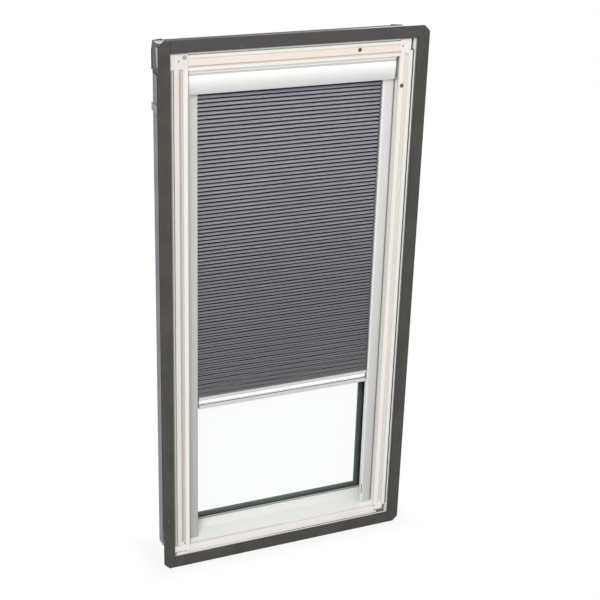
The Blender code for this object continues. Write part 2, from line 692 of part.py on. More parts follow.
def make_drive():
    steel = material("drive_shaft", (0.55, 0.56, 0.57), 0.3, 1.0)
    plastic = material("drive_plastic", (0.12, 0.12, 0.125), 0.5)
    inner_roof = TOP - HEADBOX_TOP - HEADBOX_WALL - GAP
    inner_back = HEADBOX_BACK - HEADBOX_WALL - GAP
    shaft_half = COVER_HALF_WIDTH - GAP
    cylinder("drive_shaft", 0, SHAFT_DEPTH, SHAFT_Z, SHAFT_RADIUS, 2 * shaft_half, steel)

    bore = cylinder(
        "shaft_bore", 0, SHAFT_DEPTH, SHAFT_Z, SHAFT_RADIUS + GAP, OVERALL_WIDTH, guide(), target=CUTTERS,
    )
    for side, sign in (("left", -1), ("right", 1)):
        x = sign * CORD_X
        profile = [
            (-SPOOL_WIDTH / 2, SPOOL_FLANGE_RADIUS), (-SPOOL_WIDTH / 2 + SPOOL_FLANGE, SPOOL_FLANGE_RADIUS),
            (-SPOOL_WIDTH / 2 + SPOOL_FLANGE, SPOOL_RADIUS), (SPOOL_WIDTH / 2 - SPOOL_FLANGE, SPOOL_RADIUS),
            (SPOOL_WIDTH / 2 - SPOOL_FLANGE, SPOOL_FLANGE_RADIUS), (SPOOL_WIDTH / 2, SPOOL_FLANGE_RADIUS),
        ]
        wheel("cord_spool_" + side, profile, SHAFT_RADIUS + GAP, (x, SHAFT_DEPTH, SHAFT_Z), plastic)

        middle = sign * BRACKET_X
        bracket = box(
            "shaft_bracket_" + side,
            (middle - BRACKET_THICKNESS / 2, BRACKET_FRONT, inner_roof - BRACKET_HEIGHT),
            (middle + BRACKET_THICKNESS / 2, inner_back, inner_roof),
            plastic,
        )
        combine(bracket, bore, "DIFFERENCE")

    motor = cylinder("tubular_motor", MOTOR_X, SHAFT_DEPTH, SHAFT_Z, MOTOR_RADIUS, MOTOR_LENGTH, plastic)
    foot = box(
        "motor_foot",
        (MOTOR_X - MOTOR_LENGTH / 3, SHAFT_DEPTH, SHAFT_Z - MOTOR_FOOT_HEIGHT / 2),
        (MOTOR_X + MOTOR_LENGTH / 3, inner_back, SHAFT_Z + MOTOR_FOOT_HEIGHT / 2),
        guide(), CUTTERS,
    )
    combine(motor, foot, "UNION")
    combine(motor, bore, "DIFFERENCE")
    box(
        "control_box",
        (CONTROL_BOX_END - CONTROL_BOX_LENGTH, CONTROL_BOX_FRONT, inner_roof - CONTROL_BOX_HEIGHT),
        (CONTROL_BOX_END, CONTROL_BOX_FRONT + CONTROL_BOX_DEPTH, inner_roof),
        material("control_box", (0.10, 0.10, 0.11), 0.55),
    )


def wheel(name, profile, bore_radius, place, look):
    """Turns an (x, radius) profile round the X axis, with a bore through it."""
    bm = bmesh.new()
    closed = [(profile[0][0], bore_radius)] + profile + [(profile[-1][0], bore_radius)]
    ring = [bm.verts.new((x, 0, radius)) for x, radius in closed]
    edges = [bm.edges.new((first, second)) for first, second in zip(ring, ring[1:] + ring[:1])]
    bmesh.ops.spin(
        bm, geom=ring + edges, cent=(0, 0, 0), axis=(1, 0, 0), angle=2 * math.pi, steps=24, use_merge=True,
    )
    bmesh.ops.remove_doubles(bm, verts=bm.verts, dist=0.000001)
    made = solid_from(bm, name, look)
    made.location = place
    made.data.shade_smooth()
    made.data.set_sharp_from_angle(angle=math.radians(40))
    return made


def make_channels():
    look = material("side_channel", LIGHT_ALUMINIUM, 0.35, 0.6)
    face = CHANNEL_FRONT + CHANNEL_LIP_STEP
    lip_end = CHANNEL_EDGE - CHANNEL_LIP
    lip_center = (CHANNEL_EDGE - CHANNEL_CORNER, CHANNEL_FRONT + CHANNEL_CORNER)
    outer_center = (CHANNEL_INSET + CHANNEL_CORNER, face + CHANNEL_CORNER)
    path = [(CHANNEL_EDGE, CHANNEL_SLOT_FRONT)] + arc(lip_center, CHANNEL_CORNER, 0, -90, 4)
    path += [(lip_end, CHANNEL_FRONT), (lip_end, face)] + arc(outer_center, CHANNEL_CORNER, -90, -180, 4)
    path += [(CHANNEL_INSET, CHANNEL_BACK), (CHANNEL_BACK_EDGE, CHANNEL_BACK)]
    outline = sheet_outline(path, CHANNEL_WALL)
    channels = {
        side: prism("side_channel_" + side, outline, SILL + GAP, CHANNEL_TOP, along_side(side), look)
        for side in ("left", "right")
    }

    # A short key slot near the foot of the right channel
    slot_edge = RIGHT - CHANNEL_EDGE + KEY_SLOT_FROM_EDGE
    slot_low = SILL + KEY_SLOT_RISE
    slot = box(
        "key_slot", (slot_edge, CHANNEL_FRONT - CHANNEL_WALL, slot_low),
        (slot_edge + KEY_SLOT_WIDTH, CHANNEL_FRONT + 2 * CHANNEL_WALL, slot_low + KEY_SLOT_LENGTH),
        guide(), CUTTERS,
    )
    combine(channels["right"], slot, "DIFFERENCE")


def make_feet():
    plastic = material("channel_foot", (0.60, 0.60, 0.60), 0.5)
    dark = material("foot_pulley", (0.12, 0.12, 0.125), 0.5)
    for side, sign in (("left", -1), ("right", 1)):
        middle = sign * CORD_X
        half = (CHANNEL_INNER_OUTSIDE - CHANNEL_INNER_INSIDE) / 2 - GAP
        front = CHANNEL_FRONT + CHANNEL_LIP_STEP + CHANNEL_WALL + GAP
        back = CHANNEL_BACK - CHANNEL_WALL - GAP
        outside = RIGHT - CORD_X - half
        inside = RIGHT - CORD_X + half
        outline = [
            (outside, front), (inside, front), (inside, CHANNEL_SLOT_FRONT),
            (FOOT_BACK_EDGE, back), (outside, back),
        ]
        foot = prism(
            "channel_foot_" + side, outline, SILL + GAP, SILL + FOOT_HEIGHT, along_side(side), plastic,
        )
        slot = box(
            "pulley_slot_" + side,
            (middle - FOOT_SLOT / 2, front - half, SILL + FOOT_BASE),
            (middle + FOOT_SLOT / 2, back + half, SILL + FOOT_HEIGHT + FOOT_BASE), guide(), CUTTERS,
        )
        pin = cylinder(
            "pulley_pin_" + side, middle, SHAFT_DEPTH, PULLEY_Z, PULLEY_PIN_RADIUS,
            FOOT_SLOT + 2 * FOOT_PIN_SEAT, guide(), 16, CUTTERS,
        )
        combine(foot, slot, "DIFFERENCE")
        combine(foot, pin, "UNION")
        half_width = PULLEY_WIDTH / 2
        profile = [
            (-half_width, PULLEY_FLANGE_RADIUS), (-half_width + PULLEY_FLANGE, PULLEY_FLANGE_RADIUS),
            (-half_width + PULLEY_FLANGE, PULLEY_RADIUS), (half_width - PULLEY_FLANGE, PULLEY_RADIUS),
            (half_width - PULLEY_FLANGE, PULLEY_FLANGE_RADIUS), (half_width, PULLEY_FLANGE_RADIUS),
        ]
        wheel("foot_pulley_" + side, profile, PULLEY_PIN_RADIUS + GAP, (middle, SHAFT_DEPTH, PULLEY_Z), dark)


def cord(name, points):
    curve = bpy.data.curves.new(name, "CURVE")
    curve.dimensions = "3D"
    curve.bevel_depth = CORD_RADIUS
    curve.bevel_resolution = 2
    curve.use_fill_caps = True
    spline = curve.splines.new("POLY")
    spline.points.add(len(points) - 1)
    for point, place in zip(spline.points, points):
        point.co = (*place, 1)
    made = bpy.data.objects.new(name, curve)
    curve.materials.append(material("cord", (0.82, 0.82, 0.80), 0.7))
    PARTS.objects.link(made)
    return made


def make_cords():
    """Each cord leaves the front of its spool, holds the glider, turns round the pulley and runs back up."""
    for side, sign in (("left", -1), ("right", 1)):
        x = sign * CORD_X
        cord("lift_cord_" + side, [(x, CORD_FRONT, SHAFT_Z), (x, CORD_FRONT, GLIDER_TOP + GAP)])
        cord("return_cord_" + side, [(x, CORD_FRONT, GLIDER_BOTTOM - GAP), (x, CORD_FRONT, PULLEY_Z + GAP)])
        turn = arc((SHAFT_DEPTH, PULLEY_Z), CORD_TURN_RADIUS, 180, 360, CORD_TURN_STEPS)
        back_run = [(x, depth, height) for depth, height in turn] + [(x, CORD_BACK, SHAFT_Z)]
        cord("cord_back_run_" + side, back_run)


def pleat_height(share):
    """How far down the fabric a fold lies, as shares of its drop: pleats close up towards the bar."""
    return (1 + PLEAT_CROWDING) * share - PLEAT_CROWDING * share ** PLEAT_CROWDING_POWER


def make_fabric():
    drop = FABRIC_TOP - FABRIC_BOTTOM
    folds = 2 * PLEATS
    front = []
    for fold in range(folds + 1):
        depth = FABRIC_FRONT + (0 if fold % 2 else FABRIC_FOLD_DEPTH)
        front.append((depth, FABRIC_TOP - drop * pleat_height(fold / folds)))
    back = [(depth + FABRIC_SHEET, height) for depth, height in reversed(front)]
    look = material("pleated_fabric", (0.30, 0.30, 0.305), 0.9)
    prism("pleated_fabric", front + back, -FABRIC_HALF_WIDTH, FABRIC_HALF_WIDTH, across, look)


def make_bottom_bar():
    look = material("bottom_bar", (0.74, 0.75, 0.75), 0.3, 0.5)
    bead_bottom = BAR_TOP - BAR_BEAD_HEIGHT
    half_bulge = BAR_BULGE_HEIGHT / 2
    bulge_radius = (half_bulge ** 2 + BAR_BULGE ** 2) / (2 * BAR_BULGE)
    sweep = math.degrees(math.asin(half_bulge / bulge_radius))
    bulge_center = (BAR_FRONT - BAR_BULGE + bulge_radius, bead_bottom - half_bulge)
    outline = [
        (BAR_BACK, BAR_TOP), (BAR_FRONT + BAR_SEAM_DEPTH, BAR_TOP), (BAR_FRONT, BAR_TOP - BAR_SEAM_DEPTH),
        (BAR_FRONT, bead_bottom + BAR_SEAM_DEPTH), (BAR_FRONT + BAR_SEAM_DEPTH, bead_bottom),
    ]
    outline += arc(bulge_center, bulge_radius, 180 - sweep, 180 + sweep, 8) + [(BAR_BACK, BAR_BOTTOM)]
    bar = prism("bottom_bar", outline, -BAR_HALF_WIDTH, BAR_HALF_WIDTH, across, look)
    hollow = box(
        "bar_hollow",
        (-OVERALL_WIDTH / 2, BAR_FRONT + BAR_WALL, BAR_BOTTOM + BAR_WALL),
        (OVERALL_WIDTH / 2, BAR_BACK - BAR_WALL, BAR_TOP - BAR_WALL), guide(), CUTTERS,
    )
    combine(bar, hollow, "DIFFERENCE")
    for side, sign in (("left", -1), ("right", 1)):
        ends = sorted((sign * (BAR_HALF_WIDTH - GLIDER_PLUG), sign * OVERALL_WIDTH / 2))
        plug_seat = box(
            "plug_seat_" + side, (ends[0], 0, BAR_BOTTOM - GRIP_HEIGHT), (ends[1], FRAME_BACK, bead_bottom),
            guide(), CUTTERS,
        )
        combine(bar, plug_seat, "DIFFERENCE")

    grip_top = BAR_BOTTOM - GAP
    grip_bottom = grip_top - GRIP_HEIGHT
    grip_path = [
        (GRIP_BACK, grip_top), (GRIP_BACK, grip_bottom),
        (BAR_FRONT, grip_bottom), (BAR_FRONT, grip_top),
    ]
    prism(
        "bottom_bar_grip", sheet_outline(grip_path, GRIP_WALL),
        -BAR_HALF_WIDTH, BAR_HALF_WIDTH, across, look,
    )


def make_gliders():
    """Each glider plugs into the end of the bar and has a block that slides in the channel."""
    look = material("glider", (0.45, 0.46, 0.47), 0.5)
    arm_start = BAR_HALF_WIDTH + GAP
    block_inside = CHANNEL_INNER_INSIDE + GLIDER_CLEARANCE
    block_outside = CHANNEL_INNER_OUTSIDE - GLIDER_CLEARANCE
    block_front = CHANNEL_FRONT + CHANNEL_LIP_STEP + CHANNEL_WALL + GLIDER_CLEARANCE
    arm_and_block = [
        (arm_start, GLIDER_ARM_FRONT), (block_inside, GLIDER_ARM_FRONT), (block_inside, block_front),
        (block_outside, block_front), (block_outside, GLIDER_ARM_BACK), (arm_start, GLIDER_ARM_BACK),
    ]
    plug_start = BAR_HALF_WIDTH - GLIDER_PLUG + GAP
    plug_end = BAR_HALF_WIDTH + GLIDER_PLUG
    plug_front = BAR_FRONT + GLIDER_PLUG_SETBACK
    plug_back = BAR_BACK - BAR_WALL
    plug_outline = [
        (plug_start, plug_front), (BAR_HALF_WIDTH, plug_front), (BAR_HALF_WIDTH, GLIDER_ARM_FRONT),
        (plug_end, GLIDER_ARM_FRONT), (plug_end, plug_back), (plug_start, plug_back),
    ]
    plug_top = BAR_TOP - BAR_BEAD_HEIGHT - GAP
    for side, sign in (("left", -1), ("right", 1)):
        mirrored = [(sign * x, depth) for x, depth in arm_and_block]
        glider = prism("glider_" + side, mirrored, GLIDER_BOTTOM, GLIDER_TOP, upright, look)
        mirrored = [(sign * x, depth) for x, depth in plug_outline]
        plug = prism("plug_" + side, mirrored, BAR_BOTTOM + GAP, plug_top, upright, look, CUTTERS)
        combine(glider, plug, "UNION")


make_deck_seal()
make_flange()
side_rail("left")
side_rail("right")
cross_rails()
make_lining_strips()
make_covers()
make_straps()
make_glass()
make_headbox()
make_drive()
make_channels()
make_feet()
make_cords()
make_fabric()
make_bottom_bar()
make_gliders()
print("parts", len(PARTS.objects))
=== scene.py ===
import math
import bpy
import bmesh
from mathutils import Matrix, Vector


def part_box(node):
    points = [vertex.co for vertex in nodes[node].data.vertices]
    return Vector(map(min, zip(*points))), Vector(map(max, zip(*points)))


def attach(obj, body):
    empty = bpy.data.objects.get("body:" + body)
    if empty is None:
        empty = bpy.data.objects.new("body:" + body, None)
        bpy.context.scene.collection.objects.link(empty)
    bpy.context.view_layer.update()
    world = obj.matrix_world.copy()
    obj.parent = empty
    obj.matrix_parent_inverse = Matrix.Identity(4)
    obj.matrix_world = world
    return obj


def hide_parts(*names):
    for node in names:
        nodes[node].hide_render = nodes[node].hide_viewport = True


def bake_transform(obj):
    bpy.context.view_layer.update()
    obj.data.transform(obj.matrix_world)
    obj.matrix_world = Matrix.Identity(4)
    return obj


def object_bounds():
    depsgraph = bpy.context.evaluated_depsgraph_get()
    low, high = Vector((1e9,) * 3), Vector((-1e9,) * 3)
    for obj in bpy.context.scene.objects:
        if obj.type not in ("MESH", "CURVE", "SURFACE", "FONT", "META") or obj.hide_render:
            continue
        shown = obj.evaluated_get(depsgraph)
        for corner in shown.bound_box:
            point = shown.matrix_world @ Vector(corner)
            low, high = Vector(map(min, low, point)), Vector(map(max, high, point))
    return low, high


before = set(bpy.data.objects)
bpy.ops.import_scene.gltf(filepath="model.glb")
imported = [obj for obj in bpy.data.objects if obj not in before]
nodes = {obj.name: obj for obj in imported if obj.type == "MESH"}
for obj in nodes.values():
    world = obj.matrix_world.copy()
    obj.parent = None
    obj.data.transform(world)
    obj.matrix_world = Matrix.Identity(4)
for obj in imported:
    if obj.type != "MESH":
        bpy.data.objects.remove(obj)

cadBox = [list(corner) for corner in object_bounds()]
scene = bpy.context.scene
print("frame loaded,", len(nodes), "nodes")


class Reading:
    # one socket's value; sums on it add Math nodes, or Vector Math nodes for colours and vectors
    def __init__(self, look, socket):
        self.look = look
        self.socket = socket

    def worked(self, operation, first, second):
        kind = "ShaderNodeVectorMath" if self.socket.type in ("VECTOR", "RGBA") else "ShaderNodeMath"
        return self.look.add(kind, {"operation": operation}, {0: first, 1: second})

    def __add__(self, other):
        return self.worked("ADD", self, other)

    def __radd__(self, other):
        return self.worked("ADD", other, self)

    def __sub__(self, other):
        return self.worked("SUBTRACT", self, other)

    def __rsub__(self, other):
        return self.worked("SUBTRACT", other, self)

    def __mul__(self, other):
        return self.worked("MULTIPLY", self, other)

    def __rmul__(self, other):
        return self.worked("MULTIPLY", other, self)

    def __gt__(self, other):
        return self.worked("GREATER_THAN", self, other)

    def __lt__(self, other):
        return self.worked("LESS_THAN", self, other)

    def __abs__(self):
        return self.look.add("ShaderNodeMath", {"operation": "ABSOLUTE"}, {0: self})

    def within(self, low, high):
        # 1 from low to high, 0 elsewhere
        return (self > low) * (self < high)

    def between(self, low, high):
        # 0 below low, 1 above high, a soft step between them
        return self.look.add(
            "ShaderNodeMapRange", {"interpolation_type": "SMOOTHSTEP"},
            {"Value": self, "From Min": low, "From Max": high},
        )


class Look:
    # a procedural material, or the world, with its nodes added one by one
    def __init__(self, name, owner=None):
        self.material = owner or bpy.data.materials.new(name)
        self.material.use_nodes = True
        self.nodes = self.material.node_tree.nodes
        self.links = self.material.node_tree.links
        self.shader = self.nodes.get("Principled BSDF")

    def add(self, kind, settings=None, values=None, output=0):
        node = self.nodes.new(kind)
        for name, setting in (settings or {}).items():
            setattr(node, name, setting)
        for name, value in (values or {}).items():
            self.feed(node.inputs[name], value)
        return Reading(self, node.outputs[output])

    def feed(self, socket, value):
        if isinstance(value, Reading):
            self.links.new(value.socket, socket)
        elif socket.type == "RGBA":
            socket.default_value = (*value[:3], 1)
        elif socket.type == "VECTOR" and isinstance(value, (int, float)):
            socket.default_value = (value, value, value)
        else:
            socket.default_value = value

    def split(self, kind, names, values=None):
        # several outputs of one node
        node = self.add(kind, {}, values).socket.node
        return [Reading(self, node.outputs[name]) for name in names]

    def place(self):
        return self.add("ShaderNodeTexCoord", {}, {}, "Object")

    def axes(self, place):
        return self.split("ShaderNodeSeparateXYZ", "XYZ", {0: place})

    def noise(self, place, scale, detail=3.0, stretch=(1, 1, 1)):
        stretched = place * stretch if stretch != (1, 1, 1) else place
        return self.add("ShaderNodeTexNoise", {}, {"Vector": stretched, "Scale": scale, "Detail": detail})

    def mix(self, first, second, factor):
        return self.add("ShaderNodeMix", {"data_type": "RGBA"}, {0: factor, 6: first, 7: second}, 2)

    def larger(self, first, second):
        return self.add("ShaderNodeMath", {"operation": "MAXIMUM"}, {0: first, 1: second})

    def bump(self, height, strength, distance):
        return self.add("ShaderNodeBump", {}, {"Height": height, "Strength": strength, "Distance": distance})

    def wear(self, **values):
        # the shader's own sockets, with _ for a space in their names
        for name, value in values.items():
            self.feed(self.shader.inputs[name.replace("_", " ")], value)
        return self.material


def tone(red, green, blue):
    # a colour as seen on a screen, from 0 to 255, made linear
    def linear(level):
        share = level / 255
        return share / 12.92 if share <= 0.04045 else ((share + 0.055) / 1.055) ** 2.4
    return (linear(red), linear(green), linear(blue))


def begun(name, finish):
    # a new look with its place on the part, the axes of that place and the finish's tones
    look = Look(name)
    place = look.place()
    shades = {name: tone(*shade) for name, shade in finish["tones"].items()}
    return look, place, look.axes(place), shades


def brushed(look, body, streaks, roughness, metallic):
    return look.wear(
        Base_Color=body, Roughness=roughness + streaks * 0.12, Metallic=metallic,
        Normal=look.bump(streaks, 0.06, 0.0003),
    )


# the finishes: their tones, and where on the part each shade starts and ends, in metres

woodLook = {
    "tones": {
        "low": (237, 233, 228), "high": (231, 227, 221), "warm": (236, 227, 219), "sill": (246, 247, 243),
        "corner": (222, 214, 207), "grooveDark": (178, 168, 161), "grooveLight": (232, 227, 220),
        "rightDark": (206, 202, 196), "rightLight": (222, 218, 210), "seam": (168, 165, 161),
        "slit": (88, 86, 80), "shade": (196, 191, 188), "peach": (231, 218, 209), "line": (205, 194, 186),
        "faint": (214, 208, 203), "block": (222, 217, 212), "inner": (190, 186, 181),
        "left": (219, 215, 208), "outer": (150, 148, 141), "bead": (120, 118, 112),
    },
    "fade": (0.0, 0.8), "upright": (0.0374, 1.1500), "headboxFoot": 1.0900, "clear": 0.2343, "face": 0.0120,
    "leftGroove": (0.2420, 0.2535), "leftTurn": (0.2420, 0.2510),
    "rightGroove": (0.2449, 0.2563), "rightTurn": (0.2470, 0.2490),
    "innerCorner": 0.2366, "leftFace": (0.2550, 0.2660), "outerLip": 0.2712,
    "blockFrom": 0.2347, "block": (1.1380, 1.1520),
    "peach": (1.1520, 1.1655), "faint": (1.1664, 1.1692), "line": (1.1494, 1.1522), "topEdge": 1.1770,
    "sill": 0.0450, "sillDepth": (0.008, 0.012), "corner": (0.0376, 0.0402), "cornerDepth": 0.0086,
    "besideChannel": (0.0215, 0.0262), "besideHeadbox": (0.0095, 0.0150), "seamReach": 0.2350,
    "seamFoot": 0.0460, "seamTop": 1.1420,
    "slit": 0.2634, "slitRun": (0.0374, 1.1540), "stripSide": 0.2710, "topSlit": 0.2570,
    "topSlitRun": (1.1540, 1.1562), "slitShare": 0.85,
    "lowBlock": (0.2355, 0.2615), "lowEdge": (0.0236, 0.0266), "lowEdgeEnd": 0.2600, "sideEdge": 0.2568,
    "sideEdgeRun": (0.0260, 0.0374), "lowShare": 0.8,
    "beadDepth": 0.0855, "bead": (0.0457, 0.0471),
}


def paintedWood():
    at = woodLook
    look, place, (x, y, z), shades = begun("wood_frame", at)
    patches = look.noise(place, 9, 2)
    grain = look.noise(place, 260, 4, (1, 1, 0.06))
    # painted shade: the paint darkens towards the top, against the lamp's stronger light there
    paint = look.mix(shades["low"], shades["high"], z.between(*at["fade"]))
    paint = look.mix(paint, shades["warm"], patches.between(0.45, 0.75) * 0.4)
    # painted shade in the grooves of the side rails: the left one dark outside, the right one dark inside
    reach = abs(x)
    onLeft, onRight = x < 0, x > 0
    upright = z.within(*at["upright"])
    left = look.mix(shades["grooveLight"], shades["grooveDark"], reach.between(*at["leftTurn"]))
    right = look.mix(shades["rightDark"], shades["rightLight"], reach.between(*at["rightTurn"]))
    paint = look.mix(paint, left, reach.within(*at["leftGroove"]) * upright * onLeft)
    paint = look.mix(paint, right, reach.within(*at["rightGroove"]) * upright * onRight)
    # painted shade: the left rail's inner corner and outer lip lie in shade, its upper end is painted
    # darker, and so is the outer band of its face
    inner = (reach < at["innerCorner"]) * (z < at["headboxFoot"])
    paint = look.mix(paint, shades["inner"], inner * upright * onLeft)
    paint = look.mix(paint, shades["outer"], x < -at["outerLip"])
    paint = look.mix(paint, shades["block"], (x < -at["blockFrom"]) * z.between(*at["block"]))
    paint = look.mix(paint, shades["left"], reach.within(*at["leftFace"]) * upright * onLeft)
    # painted shade, with a warm cast in the wide band, along the moulded lines of the top rail and on its
    # upper edge
    for name in ("peach", "faint", "line"):
        paint = look.mix(paint, shades[name], (reach < at["clear"]) * z.within(*at[name]))
    paint = look.mix(paint, shades["shade"], z > at["topEdge"])
    # painted light: the sill's top is painted lighter and a little cooler; its front corner shows a thin
    # line of painted shade
    paint = look.mix(paint, shades["sill"], (z < at["sill"]) * y.between(*at["sillDepth"]))
    corner = z.within(*at["corner"]) * (y < at["cornerDepth"])
    paint = look.mix(paint, shades["corner"], corner * (reach < at["clear"]))
    # painted shade in the narrow gaps beside the channels and the headbox, and in the slits beside the
    # lining strips
    gapShade = y.between(*at["besideChannel"]) * z.within(at["seamFoot"], at["headboxFoot"])
    gapShade += y.between(*at["besideHeadbox"]) * (z > at["headboxFoot"])
    paint = look.mix(paint, shades["seam"], gapShade * (reach < at["seamReach"]) * (z < at["seamTop"]))
    slit = (x > at["slit"]) * z.within(*at["slitRun"]) + (x > at["stripSide"])
    slit += (x > at["topSlit"]) * z.within(*at["topSlitRun"])
    paint = look.mix(paint, shades["slit"], slit * (y < at["face"]) * at["slitShare"])
    # the lower right corner block stands clear of its neighbours, with painted shade in the gaps around it
    onBlock = x.within(*at["lowBlock"]) * (y < at["face"])
    edge = z.within(*at["lowEdge"]) * (x < at["lowEdgeEnd"])
    edge += (x > at["sideEdge"]) * z.within(*at["sideEdgeRun"])
    paint = look.mix(paint, shades["slit"], onBlock * edge * at["lowShare"])
    # painted shade in the groove under the glazing bead
    paint = look.mix(paint, shades["bead"], (y > at["beadDepth"]) * z.within(*at["bead"]))
    return look.wear(
        Base_Color=paint, Roughness=0.34 + grain * 0.12, Normal=look.bump(grain, 0.12, 0.0004),
        Coat_Weight=0.15, Coat_Roughness=0.25,
    )


liningLook = {
    "tones": {
        "pale": (224, 232, 228), "leftOuter": (136, 134, 127), "leftInner": (206, 203, 196),
        "dark": (58, 66, 62), "low": (250, 252, 250), "lowLine": (120, 122, 118),
    },
    "side": 0.2650, "leftTurn": (0.2664, 0.2704), "lowTop": 0.0200, "lineAcross": (-0.08, 0.02),
    "lineFrom": 0.0149, "slitEnd": 0.2676, "slitRun": (0.0374, 1.1560), "slitShare": 0.9,
    "deepEnd": 0.2659, "deepFrom": 0.0142,
}


def liningPaint():
    at = liningLook
    look, place, (x, y, z), shades = begun("lining_strip", at)
    fine = look.noise(place, 700, 3)
    # painted shade on the left strip, darker towards its outer edge
    left = look.mix(shades["leftInner"], shades["leftOuter"], abs(x).between(*at["leftTurn"]))
    body = look.mix(shades["pale"], left, x < -at["side"])
    # painted light: the bottom strip is painted lighter, with a darker line along its top towards the right
    line = x.between(*at["lineAcross"]) * (z > at["lineFrom"])
    lower = look.mix(shades["low"], shades["lowLine"], line)
    body = look.mix(body, lower, (z < at["lowTop"]) * (abs(x) < at["side"]))
    # shade in the slit between the right strip and the rail, deepest at its back
    slit = x.within(at["side"], at["slitEnd"]) * z.within(*at["slitRun"])
    body = look.mix(body, shades["dark"], slit * at["slitShare"])
    body = look.mix(body, shades["dark"], x.within(at["side"], at["deepEnd"]) * (y > at["deepFrom"]))
    return look.wear(Base_Color=body, Roughness=0.5 + fine * 0.1, Normal=look.bump(fine, 0.1, 0.0002))


foamLook = {
    "tones": {
        "low": (62, 61, 56), "high": (73, 71, 66), "top": (74, 70, 71), "scuff": (102, 99, 97),
        "cut": (20, 19, 20), "fleck": (122, 112, 104),
    },
    "topFrom": 1.1795, "cutFrom": 1.4914, "cutDepth": 0.0010, "fleckAt": (-0.2876, 0.1142), "fleck": 0.0016,
}


def foamRubber():
    at = foamLook
    look, place, (x, y, z), shades = begun("deck_seal", at)
    fine = look.noise(place, 900, 5)
    broad = look.noise(place, 14, 3)
    scuffs = look.noise(place, 60, 4, (1, 1, 0.25)).between(0.62, 0.78)
    body = look.mix(shades["low"], shades["high"], broad.between(0.3, 0.7))
    body = look.mix(body, shades["top"], (z > at["topFrom"]) * 0.8)
    body = look.mix(body, shades["scuff"], scuffs * 0.35)
    # painted shade, black, on the edges of the cut corners at the top
    body = look.mix(body, shades["cut"], (abs(x) + z > at["cutFrom"]) * (y > at["cutDepth"]))
    across, height = at["fleckAt"]
    fleck = (abs(x - across) < at["fleck"]) * (abs(z - height) < at["fleck"])
    body = look.mix(body, shades["fleck"], fleck)
    return look.wear(
        Base_Color=body, Roughness=0.72 + fine * 0.16, Normal=look.bump(fine + broad, 0.35, 0.0006),
        Specular_IOR_Level=0.35,
    )


def paintedMetal(name, low, high, roughness, metallic=0.0, streak=(1, 1, 0.02)):
    look = Look(name)
    place = look.place()
    streaks = look.noise(place, 420, 3, streak)
    clouds = look.noise(place, 12, 3)
    body = look.mix(tone(*low), tone(*high), clouds.between(0.3, 0.7))
    return brushed(look, body, streaks, roughness, metallic)


def mouldedPlastic(name, low, high, roughness):
    look = Look(name)
    place = look.place()
    grain = look.noise(place, 1500, 2)
    clouds = look.noise(place, 16, 2)
    body = look.mix(tone(*low), tone(*high), clouds.between(0.35, 0.65))
    return look.wear(
        Base_Color=body, Roughness=roughness + grain * 0.08, Normal=look.bump(grain, 0.12, 0.0002),
    )


def clearGlass():
    look = Look("glass")
    haze = look.noise(look.place(), 5, 2)
    return look.wear(
        Base_Color=tone(222, 244, 242), Roughness=0.02 + haze * 0.03, Alpha=0.012 + haze * 0.014, IOR=1.5,
    )


fabricLook = {
    "tones": {
        "lit": (215, 214, 220), "low": (184, 183, 187), "shade": (84, 82, 88), "deep": (34, 33, 36),
        "end": (60, 58, 62),
    },
    "thread": 1150 / 6.28, "fade": (0.40, 1.09), "deepFade": (0.38, 1.0), "fold": 0.0282,
    "shade": (0.0066, 0.0098), "closer": 1.5, "endFrom": 0.2046, "endShare": 0.8, "uneven": (0.93, 0.14),
}


def pleatedCloth():
    at = fabricLook
    look, place, (x, y, z), shades = begun("pleated_fabric", at)
    threads = {"Vector": place, "Scale": at["thread"], "Distortion": 0.6}
    warp = look.add("ShaderNodeTexWave", {"bands_direction": "X"}, threads)
    weft = look.add("ShaderNodeTexWave", {"bands_direction": "Z"}, threads)
    weave = (warp + weft) * 0.5
    streaks = look.noise(place, 75, 3, (0.12, 1, 1))
    # painted light: the lit sides of the folds are painted brighter higher up
    lit = look.mix(shades["low"], shades["lit"], z.between(*at["fade"]))
    # painted shade in the folds: seen from above, the folds show less of their depth lower down, so their
    # painted shade starts nearer there and is darker
    height = z.between(*at["deepFade"])
    depth = (y - at["fold"]) * (height * (1 - at["closer"]) + at["closer"])
    shade = look.mix(shades["deep"], shades["shade"], height)
    body = look.mix(lit, shade, depth.between(*at["shade"]))
    # painted shade along the fabric's right end
    body = look.mix(body, shades["end"], (x > at["endFrom"]) * at["endShare"])
    least, more = at["uneven"]
    body = body * (least + streaks * more)
    return look.wear(
        Base_Color=body, Roughness=0.85 + weave * 0.1, Normal=look.bump(weave, 0.25, 0.00025),
        Sheen_Weight=0.15, Sheen_Roughness=0.5, Specular_IOR_Level=0.25,
    )


headboxLook = {
    "tones": {
        "high": (250, 250, 248), "low": (198, 198, 198), "recess": (196, 194, 192), "strip": (236, 236, 234),
    },
    "fade": (1.0890, 1.1365), "recess": (1.1307, 1.1352),
}


def headboxPaint():
    at = headboxLook
    look, place, (x, y, z), shades = begun("headbox", at)
    grain = look.noise(place, 1500, 2)
    # painted shade: the face darkens towards its foot, the recess is painted darker, and the strip above it
    # a little darker than the face's top
    body = look.mix(shades["low"], shades["high"], z.between(*at["fade"]))
    body = look.mix(body, shades["recess"], z.within(*at["recess"]))
    body = look.mix(body, shades["strip"], z > at["recess"][1])
    return look.wear(Base_Color=body, Roughness=0.26 + grain * 0.08, Normal=look.bump(grain, 0.1, 0.0002))


channelLook = {
    "tones": {
        "leftHigh": (200, 200, 195), "leftLow": (176, 178, 175), "rightHigh": (217, 217, 216),
        "rightLow": (197, 198, 196), "inside": (224, 225, 224), "lip": (238, 238, 239),
        "edge": (176, 176, 175), "slot": (96, 94, 92),
    },
    "fade": (0.05, 1.05), "lip": 0.2124, "lipShare": 0.6, "edge": (0.2296, 0.2344), "edgeShare": 0.8,
    "inside": 0.2100, "insideDepth": (0.0294, 0.0306), "slot": (0.2089, 0.2107), "slotRun": (0.0665, 0.0922),
}


